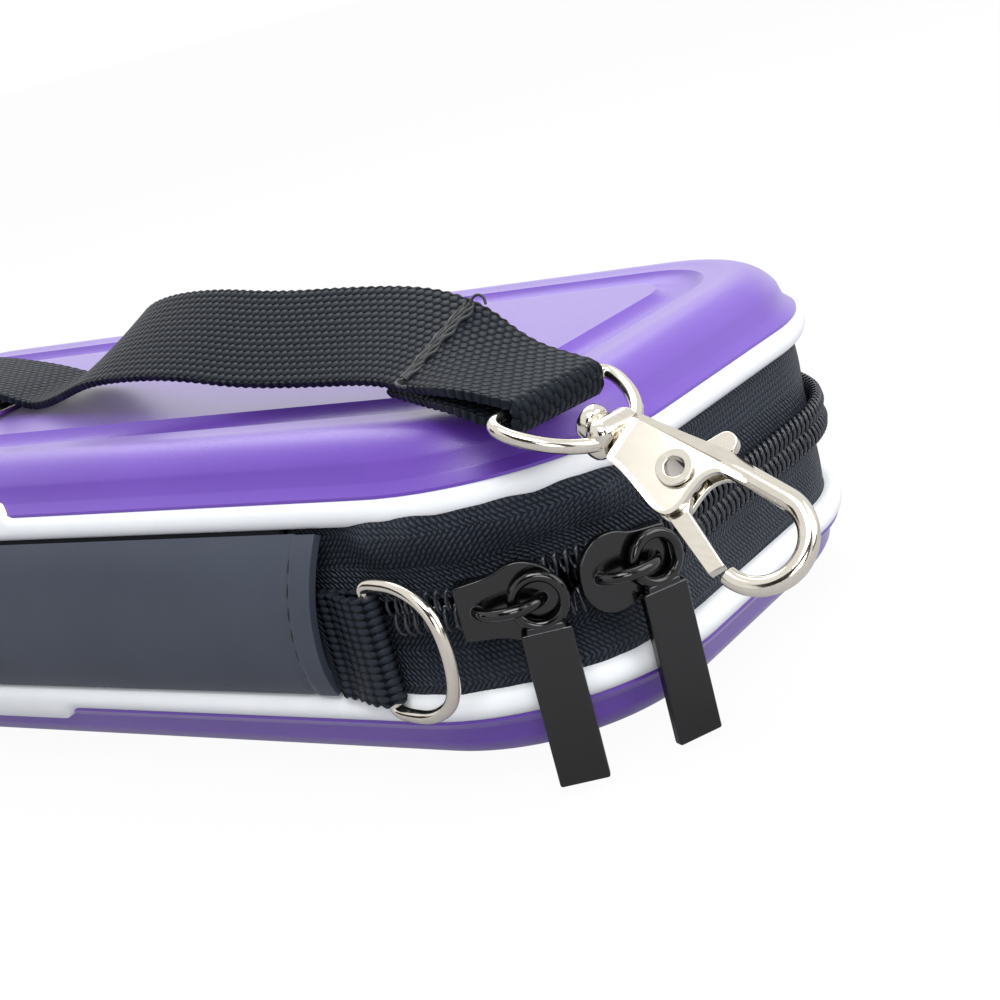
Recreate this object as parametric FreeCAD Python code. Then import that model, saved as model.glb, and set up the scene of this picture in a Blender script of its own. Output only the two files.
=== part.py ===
import FreeCAD, Part
import math
import os

from FreeCAD import Placement, Rotation, Vector

# Hard shell zip case with a spine panel, two rings and a clip-on strap.
# Millimetres, +Z up. The spine runs along X on the -Y side.
# The origin is the middle of the face that the case rests on.

os.makedirs("parts", exist_ok=True)

# Case, measured over the trims
case_length = 210.0
case_width = 90.0
corner_radius = 28.5
band_height = 22.8
trim_height = 3.6
shell_rise = 7.2

# Moulded shells and linings
shell_wall = 3.0
shell_roof = 3.2
foot_height = 1.8
foot_flare = 1.4
wall_lean = 0.55
wall_height = 2.0
shoulder_width = 7.5
crest_width = 2.5
groove_width = 7.0
groove_depth = 1.6
panel_margin = 6.5
rest_drop = 2.8
rest_slope = 2.5
lining_thickness = 1.0
seat_gap = 0.05

# Trims
trim_depth = 2.1
trim_face_in = 0.8
trim_edge_in = 1.4
trim_tab_length = 20.8
trim_tab_height = 2.0
trim_tab_thickness = 0.6

# Zip
tape_thickness = 0.7
tape_tuck = 0.4
coil_height = 2.45
coil_depth = 2.35
coil_crown = 0.35
zip_half_gap = 0.15
edge_strip = 4.85
tape_joint_gap = 0.1
zip_spread = 1.5

# Sliders and pullers
slider_length = 12.6
slider_side_gap = 0.2
slider_plate = 1.15
slider_gap = 0.3
slider_inner_drop = 1.2
slider_flange = 0.6
slider_shoulder = 1.15
slider_inner_share = 0.82
slider_post_length = 3.0
slider_post_half = 1.2
first_slider_angle = 33.0
second_slider_angle = 62.0
bail_half_length = 4.8
bail_rise = 3.7
bail_thickness = 1.6
puller_thickness = 1.5
puller_eye_outer = 3.85
puller_eye_inner = 2.35
puller_width = 6.3
puller_length = 24.0
puller_shift = 3.6
puller_gap = 0.2

# Spine
spine_setback_top = 8.0
spine_setback_bottom = 12.0
spine_thickness = 1.3
spine_bulge = 3.2
spine_edge_gap = 0.2
spine_edge_out = 0.2
spine_lining_thickness = 1.0
spine_lining_setback = 4.5
stitch_inset = 4.0
stitch_length = 2.2
stitch_pitch = 3.0
stitch_width = 0.5
stitch_count = 6

# Ring tabs and rings
tab_width = 14.4
webbing_thickness = 1.0
tab_tuck = 2.5
tab_show = 6.0
tab_notch = 3.6
tab_notch_gap = 0.75
tab_stand_off = 1.0
tab_step_in = 1.0
ring_wire = 0.8
ring_inner_half = 7.6
ring_arm = 3.0
ring_bend = 1.7
ring_fit = 0.05
ring_swing = 10.0

# Interior
pocket_thickness = 0.6
pocket_hole = 4.0
pocket_pitch = 6.0
pocket_margin = 5.0
pocket_mouth = 18.0
pocket_drop = 1.0
binding_width = 4.5
elastic_width = 8.0
elastic_thickness = 1.2

# Strap
strap_width = 15.0
strap_thickness = 1.4
strap_clear = 0.35
strap_fold_length = 9.0
strap_fold_tilt = 17.0
bartack_width = 1.6
bartack_length = 12.6
bartack_thickness = 0.4
bartack_gap = 0.25
# Middle of the strap behind its folded end, as x, y, z and the tilt of its near edge in degrees
strap_route = [
    (83.4, -30.0, 54.2, 28.0),
    (74.0, -27.4, 56.2, 36.0),
    (62.0, -25.2, 57.2, 40.0),
    (48.0, -23.6, 57.6, 40.0),
    (34.0, -21.4, 57.6, 38.0),
    (21.0, -18.8, 57.2, 34.0),
    (11.0, -16.0, 55.4, 26.0),
    (2.0, -12.4, 52.2, 13.0),
    (-6.0, -9.4, 49.7, 3.0),
    (-13.0, -8.0, 48.9, 0.0),
    (-19.0, -8.0, 50.7, 0.0),
    (-27.0, -8.0, 52.4, 0.0),
    (-35.0, -8.0, 53.7, 0.0),
]
# Upper side of the adjusting loop, as x and z of its middle
loop_route = [(-39.0, 54.35), (-52.0, 55.8), (-67.0, 56.2), (-82.0, 54.2)]
loop_return = -37.0
adjuster_x = -27.0
adjuster_half_length = 6.0
adjuster_half_width = 9.2
adjuster_bend = 2.2
adjuster_wire = 1.0

# Clasps
front_bar = (102.2, -36.8, 49.0)
rear_bar = (-104.0, -8.0, 48.2)
front_heading = -10.0
rear_heading = 180.0
clasp_tilt = 28.0
front_swivel = 45.0
rear_swivel = 0.0
eye_wire = 0.9
eye_fit = 0.05
eye_bar_gap = 0.4
eye_bend = 2.2
lug_start = 8.2
lug_length = 3.4
lug_radius = 3.6
swivel_post = 1.6
swivel_fit = 0.05
swivel_gap = 0.3
swivel_head = 2.1
swivel_head_length = 1.9
body_half_height = 1.9
body_slot_half = 1.1
body_end_wall = 1.0
rivet_x = 19.8
rivet_radius = 1.6
rivet_bore = 1.15
rivet_fit = 0.05
rivet_head = 2.2
rivet_head_height = 0.4
hook_wire = 1.15
hook_radius = 5.2
hook_x = 32.0
hook_y = -1.8
hook_root = 24.6
hook_root_length = 2.4
hook_tip_turn = 190.0
# Outline of the clasp's body plates below and above the rivet, as x and y
body_narrow_low = -2.9
body_narrow_high = 3.2
body_lower_outline = [(24.2, 1.3), (23.2, 0.0), (22.9, -2.0), (22.4, -4.2), (21.2, -5.0), (19.8, -4.8)]
body_upper_corner = (22.0, 4.2)
# Outline of the gate's arm and the end of its thumb tab
gate_arm = [(18.2, -1.4), (20.3, -4.4), (29.6, -8.0), (30.5, -6.3), (23.6, -3.3), (22.1, -0.6)]
gate_tab_tip = (23.3, 6.4)
gate_low = -0.5
gate_high = 0.95
gate_hub = 2.5
gate_tab_half = 1.3
spring_inner = 1.75
spring_outer = 2.3
spring_height = 0.4

# Levels and places that follow from the sizes
band_half = band_height / 2
trim_top = band_half + trim_height
crest = trim_top + shell_rise
mid_level = crest + rest_drop
arc_x = case_length / 2 - corner_radius
arc_y = case_width / 2 - corner_radius
tape_in = trim_depth + seat_gap
flange_in = tape_in + tape_thickness + seat_gap
lining_in = flange_in + shell_wall + seat_gap
wall_foot = trim_face_in + foot_flare
wall_top = wall_foot + wall_lean
crest_in = wall_top + shoulder_width
groove_in = crest_in + crest_width
pillow_in = groove_in + groove_width
plate_in = pillow_in + panel_margin
roof_under = crest - shell_roof
coil_out = tape_in - seat_gap - coil_depth
spine_half_top = arc_x - spine_setback_top
spine_half_bottom = arc_x - spine_setback_bottom
spine_lining_half = spine_half_bottom - spine_lining_setback
tab_root = spine_half_bottom - tab_tuck
tab_level = mid_level - band_half + spine_edge_gap + tab_width / 2
ring_bar_x = spine_half_top + tab_show
slider_tail_half = zip_half_gap + coil_height + slider_side_gap + slider_flange


def at_level(offset):
    return mid_level + offset


def profile_wire(points):
    edges = []
    here = points[0]
    for step in points[1:] + [points[0]]:
        if len(step) == 4:
            middle = Vector(step[0], 0, step[1])
            end = (step[2], step[3])
            edges.append(Part.Arc(Vector(here[0], 0, here[1]), middle, Vector(end[0], 0, end[1])).toShape())
        else:
            end = step
            edges.append(Part.LineSegment(Vector(here[0], 0, here[1]), Vector(end[0], 0, end[1])).toShape())
        here = end
    return Part.Wire(edges)


def flip_profile(points, side):
    flipped = []
    for step in points:
        values = list(step)
        for index in range(1, len(values), 2):
            values[index] = values[index] * side
        flipped.append(tuple(values))
    return flipped


def face_at(points, corner, angle):
    # The profile's first value is a distance in from the outline, its second a height from mid level
    wire = profile_wire([(corner_radius - p[0], at_level(p[1])) if len(p) == 2 else
                         (corner_radius - p[0], at_level(p[1]), corner_radius - p[2], at_level(p[3]))
                         for p in points])
    face = Part.Face(wire)
    face.rotate(Vector(0, 0, 0), Vector(0, 0, 1), angle)
    face.translate(Vector(corner[0], corner[1], 0))
    return face


def corner_piece(points, corner, start, end):
    face = face_at(points, corner, start)
    return face.revolve(Vector(corner[0], corner[1], 0), Vector(0, 0, 1), end - start)


def side_piece(points, corner, angle, run):
    return face_at(points, corner, angle).extrude(run)


def fuse_all(pieces):
    return pieces[0].multiFuse(pieces[1:]).removeSplitter()


near_right = (arc_x, -arc_y)
far_right = (arc_x, arc_y)
far_left = (-arc_x, arc_y)
near_left = (-arc_x, -arc_y)


def follow_outline(points, side, spine_start=None, corner_parts=None):
    # Carries a profile round the case: all of it, or all but the spine's middle
    shape = flip_profile(points, side)
    pieces = [
        side_piece(shape, near_right, 0, Vector(0, 2 * arc_y, 0)),
        corner_piece(shape, far_right, 0, 90),
        side_piece(shape, far_right, 90, Vector(-2 * arc_x, 0, 0)),
        corner_piece(shape, far_left, 90, 180),
        side_piece(shape, far_left, 180, Vector(0, -2 * arc_y, 0)),
        corner_piece(shape, near_left, 180, 270),
    ]
    if corner_parts is None:
        pieces.append(corner_piece(shape, near_right, 270, 360))
    else:
        for part_points, start, end in corner_parts:
            pieces.append(corner_piece(flip_profile(part_points, side), near_right, 270 + start, 270 + end))
    if spine_start is None:
        pieces.append(side_piece(shape, near_left, 270, Vector(2 * arc_x, 0, 0)))
    elif spine_start < arc_x:
        pieces.append(side_piece(shape, near_left, 270, Vector(arc_x - spine_start, 0, 0)))
        pieces.append(side_piece(shape, near_right, 270, Vector(spine_start - arc_x, 0, 0)))
    return fuse_all(pieces)


def rounded_plate(inset, low, high):
    half_x = case_length / 2 - inset
    half_y = case_width / 2 - inset
    radius = corner_radius - inset
    plate = Part.makeBox(2 * half_x, 2 * half_y, high - low, Vector(-half_x, -half_y, low))
    upright = [e for e in plate.Edges if abs(e.Vertexes[0].Z - e.Vertexes[-1].Z) > (high - low) / 2]
    return plate.makeFillet(radius, upright)


def box_between(low, high):
    return Part.makeBox(high[0] - low[0], high[1] - low[1], high[2] - low[2], Vector(*low))


def keep(name, shape):
    shape.exportStep("parts/" + name + ".step")
    print(name, len(shape.Solids), shape.isValid(), round(shape.Volume, 1))


# Shells: lip on the trim, flared foot, wall, shoulder, crest, groove and middle panel.
# The lower shell's panel stands below its crest by the drop, and the case rests on it.
def shell(side, drop):
    lip = trim_top + seat_gap
    foot_top = trim_top + foot_height
    wall_end = foot_top + wall_height
    shoulder_high = crest - wall_end
    points = [
        (flange_in, band_half),
        (flange_in, lip),
        (trim_face_in, lip),
        (trim_face_in, trim_top + foot_height / 4),
        (trim_face_in + foot_flare * 0.42, trim_top + foot_height * 0.55, wall_foot, foot_top),
        (wall_top, wall_end),
        (wall_top + shoulder_width * 0.3, wall_end + shoulder_high * 0.7, crest_in, crest),
        (groove_in, crest),
        (groove_in + groove_width / 2, crest - groove_depth, pillow_in, crest),
        (pillow_in + rest_slope, crest + drop),
        (plate_in, crest + drop),
        (plate_in, roof_under),
        (flange_in + shell_wall + shell_roof, roof_under),
        (flange_in + shell_wall, roof_under - shell_roof),
        (flange_in + shell_wall, band_half),
    ]
    ring = follow_outline(points, side)
    ends = sorted([at_level(side * roof_under), at_level(side * (crest + drop))])
    return fuse_all([ring, rounded_plate(plate_in, ends[0], ends[1])])


def lining(side):
    inner = lining_in + lining_thickness
    under = roof_under - seat_gap
    slope = shell_roof
    points = [
        (lining_in, band_half),
        (lining_in, under - slope),
        (lining_in + slope, under),
        (plate_in, under),
        (plate_in, under - lining_thickness),
        (inner + slope, under - lining_thickness),
        (inner, under - lining_thickness - slope),
        (inner, band_half),
    ]
    ring = follow_outline(points, side)
    ends = sorted([at_level(side * under), at_level(side * (under - lining_thickness))])
    return fuse_all([ring, rounded_plate(plate_in, ends[0], ends[1])])


def trim(side):
    points = [
        (trim_face_in, trim_top),
        (0.0, trim_top - trim_height * 0.36, trim_edge_in, band_half),
        (trim_depth, band_half),
        (trim_depth, trim_top),
    ]
    ring = follow_outline(points, side)
    back = -case_width / 2 + trim_face_in - seat_gap
    inner_level = at_level(side * (trim_top - trim_height * 0.3))
    outer_level = at_level(side * (trim_top + trim_tab_height))
    half = trim_tab_length / 2
    tab = box_between((-half, back - trim_tab_thickness, min(inner_level, outer_level)),
                      (half, back, max(inner_level, outer_level)))
    ends_to_round = []
    for edge in tab.Edges:
        middle = edge.CenterOfMass
        if abs(middle.z - outer_level) < 0.01 and abs(abs(middle.x) - half) < 0.01:
            ends_to_round.append(edge)
    return fuse_all([ring, tab.makeFillet(trim_tab_height * 0.8, ends_to_round)])


def zip_tape(side):
    low = zip_half_gap + edge_strip + tape_joint_gap
    points = [
        (tape_in, low),
        (tape_in, trim_top - tape_tuck),
        (tape_in + tape_thickness, trim_top - tape_tuck),
        (tape_in + tape_thickness, low),
    ]
    return follow_outline(points, side, spine_start=tab_root)


def chain_profile(lift):
    low = zip_half_gap + lift
    top = low + coil_height
    strip_top = zip_half_gap + edge_strip
    return [
        (tape_in + tape_thickness, low),
        (tape_in + tape_thickness, strip_top),
        (tape_in, strip_top),
        (tape_in, top),
        (coil_out + coil_crown, top),
        (coil_out, (low + top) / 2, coil_out + coil_crown, low),
    ]


def zip_chain(side):
    # The coil stands apart between the two sliders, where the zip is still open
    closed = chain_profile(0.0)
    parted = chain_profile(zip_spread)
    open_from = first_slider_angle + 1.0
    open_to = second_slider_angle - 1.0
    parts = [(closed, 0, open_from), (parted, open_from, open_to), (closed, open_to, 90)]
    return follow_outline(closed, side, spine_start=arc_x, corner_parts=parts)


# Sliders: local x along the zip, local y into the case, local z up
def on_corner(angle):
    turn = math.radians(angle)
    spot = Vector(arc_x + corner_radius * math.sin(turn), -arc_y - corner_radius * math.cos(turn), mid_level)
    return Placement(spot, Rotation(Vector(0, 0, 1), angle))


slider_face = coil_out - slider_gap
slider_top = slider_face - slider_plate
slider_back = tape_in + tape_thickness + slider_inner_drop


def slider_plate_shape(low, high, front, half):
    tail = slider_tail_half
    wide = tail + slider_shoulder
    upper = [(-half, tail), (-half * 0.25, tail), (half * 0.2, wide), (half * 0.55, wide * 0.95),
             (half, tail * 0.45)]
    lower = [(u, -v) for u, v in reversed(upper)]
    corners = [Vector(front * u, low, v) for u, v in upper + lower]
    return Part.Face(Part.makePolygon(corners + [corners[0]])).extrude(Vector(0, high - low, 0))


def slider(front):
    half = slider_length / 2
    pieces = [
        slider_plate_shape(slider_top, slider_face, front, half),
        slider_plate_shape(slider_back, slider_back + slider_plate, front, half * slider_inner_share),
    ]
    post_ends = sorted([front * half * 0.2, front * (half * 0.2 + slider_post_length)])
    pieces.append(box_between((post_ends[0], slider_face - slider_plate / 2, -slider_post_half),
                              (post_ends[1], slider_back + slider_plate / 2, slider_post_half)))
    flange_ends = sorted([-front * half, -front * half * 0.3])
    for sign in (-1, 1):
        heights = sorted([sign * (slider_tail_half - slider_flange), sign * slider_tail_half])
        pieces.append(box_between((flange_ends[0], slider_face - slider_plate / 2, heights[0]),
                                  (flange_ends[1], tape_in - slider_gap * 2, heights[1])))
    bail_top = slider_top - bail_rise
    sink = slider_plate / 2
    inner_half = bail_half_length - bail_thickness * 0.9
    outline = [
        (-bail_half_length, slider_top + sink),
        (-bail_half_length, slider_top),
        (0.0, bail_top, bail_half_length, slider_top),
        (bail_half_length, slider_top + sink),
        (inner_half, slider_top + sink),
        (inner_half, slider_top),
        (0.0, bail_top + bail_thickness, -inner_half, slider_top),
        (-inner_half, slider_top + sink),
    ]
    bail = Part.Face(profile_wire(outline)).extrude(Vector(0, bail_thickness, 0))
    bail.translate(Vector(0, -bail_thickness / 2, 0))
    bail.rotate(Vector(0, 0, 0), Vector(1, 0, 0), -90)
    pieces.append(bail)
    return fuse_all(pieces)


def puller():
    # Flat against the slider, with its eye round the bail's foot
    back = slider_top - puller_gap
    front = back - puller_thickness
    inward = Vector(0, 1, 0)
    eye = Part.makeCylinder(puller_eye_outer, puller_thickness, Vector(puller_shift, front, 0), inward)
    neck_low = -puller_length
    tab = box_between((puller_shift - puller_width / 2, front, neck_low),
                      (puller_shift + puller_width / 2, back, -puller_eye_outer * 0.8))
    end_edges = [e for e in tab.Edges if abs(e.CenterOfMass.z - neck_low) < 0.01]
    wide_edges = [e for e in end_edges if e.Length > puller_width * 0.9]
    tab = tab.makeChamfer(puller_thickness * 0.3, wide_edges)
    hole = Part.makeCylinder(puller_eye_inner, puller_thickness * 3,
                             Vector(puller_shift, front - puller_thickness, 0), inward)
    return eye.fuse(tab).cut(hole).removeSplitter()


def placed(shape, placement):
    moved = shape.copy()
    moved.Placement = placement.multiply(moved.Placement)
    return moved


# Spine panel, bowed outwards between the two trims
def spine_panel():
    half = band_half - spine_edge_gap
    edge = -case_width / 2 + spine_edge_out
    low = at_level(-half)
    high = at_level(half)
    inner = edge + spine_thickness
    outer_middle = Vector(0, edge - spine_bulge, mid_level)
    inner_middle = Vector(0, inner - spine_bulge, mid_level)
    bow = [
        Part.Arc(Vector(0, edge, low), outer_middle, Vector(0, edge, high)).toShape(),
        Part.LineSegment(Vector(0, edge, high), Vector(0, inner, high)).toShape(),
        Part.Arc(Vector(0, inner, high), inner_middle, Vector(0, inner, low)).toShape(),
        Part.LineSegment(Vector(0, inner, low), Vector(0, edge, low)).toShape(),
    ]
    slab = Part.Face(Part.Wire(bow)).extrude(Vector(2 * spine_half_top, 0, 0))
    slab.translate(Vector(-spine_half_top, 0, 0))
    front = edge - 2 * spine_bulge
    corners = [Vector(-spine_half_bottom, front, low), Vector(spine_half_bottom, front, low),
               Vector(spine_half_top, front, high), Vector(-spine_half_top, front, high)]
    window = Part.Face(Part.makePolygon(corners + [corners[0]])).extrude(Vector(0, 4 * spine_bulge, 0))
    return slab.common(window)


def spine_bow_depth(height):
    # How far the panel's outer face stands out of its edge line at a height from mid level
    half = band_half - spine_edge_gap
    radius = (half ** 2 + spine_bulge ** 2) / (2 * spine_bulge)
    return math.sqrt(radius ** 2 - height ** 2) - (radius - spine_bulge)


def spine_stitches():
    stitches = []
    half = band_half - spine_edge_gap
    slope = (spine_half_top - spine_half_bottom) / (2 * half)
    for side in (-1, 1):
        for index in range(stitch_count):
            height = (index - (stitch_count - 1) / 2) * stitch_pitch
            end_x = spine_half_bottom + (height + half) * slope - stitch_inset
            face = -case_width / 2 + spine_edge_out - spine_bow_depth(height)
            bar = Part.makeBox(stitch_width, stitch_width, stitch_length,
                               Vector(-stitch_width / 2, -stitch_width - seat_gap, -stitch_length / 2))
            tilt = math.degrees(math.asin(height / ((half ** 2 + spine_bulge ** 2) / (2 * spine_bulge))))
            bar.rotate(Vector(0, 0, 0), Vector(1, 0, 0), -tilt)
            bar.translate(Vector(side * end_x, face - seat_gap * 2, at_level(height)))
            stitches.append(bar)
    return Part.makeCompound(stitches)


def spine_lining():
    near = -case_width / 2 + flange_in + seat_gap * 6
    half = band_half - spine_edge_gap
    return box_between((-spine_lining_half, near, at_level(-half)),
                       (spine_lining_half, near + spine_lining_thickness, at_level(half)))


# Ring tab: webbing folded round the ring's bar
tab_back = tape_in - strap_clear
ring_bar_in = tab_back - webbing_thickness - ring_wire - ring_fit - tab_stand_off


def ring_tab(side):
    hole = ring_wire + ring_fit
    outer = hole + webbing_thickness
    root_front = tab_back - 2 * webbing_thickness
    line = -case_width / 2
    reach = ring_bar_x + outer
    top = ring_bar_in - outer
    points = [
        Vector(tab_root, line + tab_back, 0),
        Vector(ring_bar_x, line + ring_bar_in + outer, 0),
        Vector(ring_bar_x, line + top, 0),
        Vector(ring_bar_x - 2 * outer, line + top + webbing_thickness * 0.4, 0),
        Vector(spine_half_top - tab_step_in, line + root_front, 0),
        Vector(tab_root, line + root_front, 0),
    ]
    edges = [Part.LineSegment(points[0], points[1]).toShape()]
    edges.append(Part.Arc(points[1], Vector(reach, line + ring_bar_in, 0), points[2]).toShape())
    for first, second in zip(points[2:], points[3:] + points[:1]):
        edges.append(Part.LineSegment(first, second).toShape())
    body = Part.Face(Part.Wire(edges)).extrude(Vector(0, 0, tab_width))
    bore = Part.makeCylinder(hole, tab_width, Vector(ring_bar_x, line + ring_bar_in, 0))
    # The lower corner stops at the panel's edge, which lies closer to the case there
    notch = box_between((tab_root, line + top, 0),
                        (spine_half_bottom + tab_notch_gap, line + tab_back, tab_notch))
    tab = body.cut(bore).cut(notch)
    tab.translate(Vector(0, 0, tab_level - tab_width / 2))
    if side < 0:
        tab = tab.mirror(Vector(0, 0, 0), Vector(1, 0, 0))
    return tab


def wire_loop(edges, radius):
    # A round wire bent along edges that meet smoothly
    path = Part.Wire(edges)
    start = edges[0].valueAt(edges[0].FirstParameter)
    heading = edges[0].tangentAt(edges[0].FirstParameter)
    section = Part.Wire([Part.makeCircle(radius, start, heading)])
    return path.makePipeShell([section], True, False)


def d_ring(side):
    half = ring_inner_half + ring_wire
    bend = ring_bend
    cut = bend * (1 - math.sqrt(0.5))
    arc_start = bend + ring_arm
    points = {
        "bar_low": Vector(0, 0, -half + bend),
        "bar_high": Vector(0, 0, half - bend),
        "top_mid": Vector(cut, 0, half - cut),
        "top_in": Vector(bend, 0, half),
        "top_out": Vector(arc_start, 0, half),
        "tip": Vector(arc_start + half, 0, 0),
        "low_out": Vector(arc_start, 0, -half),
        "low_in": Vector(bend, 0, -half),
        "low_mid": Vector(cut, 0, -half + cut),
    }
    edges = [
        Part.LineSegment(points["bar_low"], points["bar_high"]).toShape(),
        Part.Arc(points["bar_high"], points["top_mid"], points["top_in"]).toShape(),
        Part.LineSegment(points["top_in"], points["top_out"]).toShape(),
        Part.Arc(points["top_out"], points["tip"], points["low_out"]).toShape(),
        Part.LineSegment(points["low_out"], points["low_in"]).toShape(),
        Part.Arc(points["low_in"], points["low_mid"], points["bar_low"]).toShape(),
    ]
    ring = wire_loop(edges, ring_wire)
    ring.rotate(Vector(0, 0, 0), Vector(0, 0, 1), -ring_swing)
    ring.translate(Vector(ring_bar_x, -case_width / 2 + ring_bar_in, tab_level))
    if side < 0:
        ring = ring.mirror(Vector(0, 0, 0), Vector(1, 0, 0))
    return ring


# Interior: net pocket in the lid, elastic band across the base
pocket_inset = lining_in + lining_thickness + strap_clear
pocket_level = at_level(band_half + pocket_drop)


def mesh_pocket():
    sheet = rounded_plate(pocket_inset, pocket_level, pocket_level + pocket_thickness)
    half_x = case_length / 2 - pocket_inset
    half_y = case_width / 2 - pocket_inset
    sheet = sheet.common(box_between((-half_x, -half_y, pocket_level), (half_x, pocket_mouth, at_level(crest))))
    columns = int(2 * (half_x - pocket_margin) / pocket_pitch)
    rows = int((pocket_mouth + half_y - 2 * pocket_margin) / pocket_pitch)
    middle_y = (pocket_mouth - half_y) / 2
    reach = corner_radius - pocket_inset - pocket_margin
    holes = []
    for column in range(columns):
        for row in range(rows):
            x = (column - (columns - 1) / 2) * pocket_pitch
            y = middle_y + (row - (rows - 1) / 2) * pocket_pitch
            past_x = abs(x) - arc_x
            past_y = -y - arc_y
            if past_x > 0 and past_y > 0 and math.hypot(past_x, past_y) > reach - pocket_hole / 2:
                continue
            holes.append(Part.makeBox(pocket_hole, pocket_hole, 3 * pocket_thickness,
                                      Vector(x - pocket_hole / 2, y - pocket_hole / 2,
                                             pocket_level - pocket_thickness)))
    return sheet.cut(Part.makeCompound(holes))


def pocket_binding():
    half_x = case_length / 2 - pocket_inset - pocket_margin
    top = pocket_level - seat_gap
    return box_between((-half_x, pocket_mouth - binding_width, top - elastic_thickness),
                       (half_x, pocket_mouth, top))


def elastic_band():
    # Lies across the floor of the base
    floor = at_level(-(roof_under - seat_gap - lining_thickness)) + seat_gap
    reach = case_width / 2 - lining_in - lining_thickness - shell_roof
    return box_between((-elastic_width / 2, -reach, floor),
                       (elastic_width / 2, reach, floor + elastic_thickness))


# Strap run: a flat band carried through tilted sections
def strap_frame(index):
    if index == 0:
        turn = fold_turn.Rotation
        axes = [turn.multVec(axis) for axis in (Vector(-1, 0, 0), Vector(0, -1, 0), Vector(0, 0, 1))]
        return strap_start, axes[0], axes[1], axes[2]
    route = [tuple(strap_start)] + strap_route
    before = route[max(index - 1, 0)]
    after = route[min(index + 1, len(route) - 1)]
    along = Vector(*[after[axis] - before[axis] for axis in range(3)]).normalize()
    near = Vector(along.y, -along.x, 0).normalize()
    if near.y > 0:
        near = near * -1
    turn = math.radians(route[index][3])
    across = near * math.cos(turn) + Vector(0, 0, -math.sin(turn))
    across = (across - along * across.dot(along)).normalize()
    up = along.cross(across).normalize()
    if up.z < 0:
        up = up * -1
    return Vector(*route[index][:3]), along, across, up


def strap_section(index):
    middle, along, across, up = strap_frame(index)
    wide = across * (strap_width / 2)
    thick = up * (strap_thickness / 2)
    corners = [middle - wide - thick, middle + wide - thick, middle + wide + thick, middle - wide + thick]
    return Part.makePolygon(corners + [corners[0]])


def strap_run():
    return Part.makeLoft([strap_section(index) for index in range(len(strap_route) + 1)], True, True)


def strap_bartack(index):
    middle, along, across, up = strap_frame(index)
    low = strap_thickness / 2 + bartack_gap
    corners = []
    for x, y in ((-1, -1), (1, -1), (1, 1), (-1, 1)):
        in_plane = along * (x * bartack_width / 2) + across * (y * bartack_length / 2)
        corners.append(middle + in_plane + up * low)
    return Part.Face(Part.makePolygon(corners + [corners[0]])).extrude(up * bartack_thickness)


def strap_fold():
    # Local frame: the eye's bar is the y axis and the strap leaves along -x
    hole = eye_wire + eye_fit
    outer = hole + strap_thickness
    rear = -strap_fold_length
    points = [Vector(rear, 0, -strap_thickness), Vector(0, 0, -outer), Vector(0, 0, outer),
              Vector(rear, 0, strap_thickness)]
    edges = [
        Part.LineSegment(points[0], points[1]).toShape(),
        Part.Arc(points[1], Vector(outer, 0, 0), points[2]).toShape(),
        Part.LineSegment(points[2], points[3]).toShape(),
        Part.LineSegment(points[3], points[0]).toShape(),
    ]
    body = Part.Face(Part.Wire(edges)).extrude(Vector(0, strap_width, 0))
    bore = Part.makeCylinder(hole, strap_width, Vector(0, 0, 0), Vector(0, 1, 0))
    fold = body.cut(bore)
    fold.translate(Vector(0, -strap_width / 2, 0))
    return fold


def flat_band(route):
    # A band of the strap standing on a line of x, z points, as wide as the strap
    upper = []
    lower = []
    for index, (x, z) in enumerate(route):
        before = route[max(index - 1, 0)]
        after = route[min(index + 1, len(route) - 1)]
        run = Vector(after[0] - before[0], 0, after[1] - before[1]).normalize()
        side = Vector(-run.z, 0, run.x) * (strap_thickness / 2)
        upper.append(Vector(x, 0, z) + side)
        lower.append(Vector(x, 0, z) - side)
    corners = upper + lower[::-1]
    band = Part.Face(Part.makePolygon(corners + [corners[0]])).extrude(Vector(0, strap_width, 0))
    band.translate(Vector(0, rear_bar[1] - strap_width / 2, 0))
    return band


def strap_loop():
    tilt = math.radians(strap_fold_tilt)
    reach = strap_fold_length - strap_thickness
    end_x = rear_bar[0] + reach * math.cos(tilt)
    end_z = rear_bar[2] + reach * math.sin(tilt)
    step_x = math.sin(tilt) * strap_thickness / 2
    step_z = math.cos(tilt) * strap_thickness / 2
    top = [strap_route[-1][0:3:2]] + loop_route + [(end_x - step_x, end_z + step_z)]
    lid_level = at_level(crest) + strap_clear + strap_thickness / 2
    bottom = [(loop_return, lid_level), (loop_route[-1][0], lid_level), (end_x + step_x, end_z - step_z)]
    fold = placed(strap_fold(), clasp_frame(rear_bar, rear_heading, strap_fold_tilt, 0))
    return fuse_all([fold, flat_band(top), flat_band(bottom)])


def adjuster():
    # Three-bar slide lying on the lid
    level = at_level(crest) + strap_clear + adjuster_wire
    corners = []
    for x, y in ((-1, -1), (1, -1), (1, 1), (-1, 1)):
        corners.append(Vector(adjuster_x + x * adjuster_half_length,
                              rear_bar[1] + y * adjuster_half_width, level))
    frame = bent_wire(corners, adjuster_bend, adjuster_wire, True)
    bar = Part.makeCylinder(adjuster_wire * 0.9, 2 * adjuster_half_width,
                            Vector(adjuster_x, rear_bar[1] - adjuster_half_width, level), Vector(0, 1, 0))
    return fuse_all([frame, bar])


# Clasp: local x from the bar to the hook, y across, z out of its face
def clasp_frame(bar, heading, tilt, swivel):
    turn = Rotation(Vector(0, 0, 1), heading).multiply(Rotation(Vector(0, 1, 0), tilt))
    return Placement(Vector(*bar), turn.multiply(Rotation(Vector(1, 0, 0), swivel)))


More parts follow.
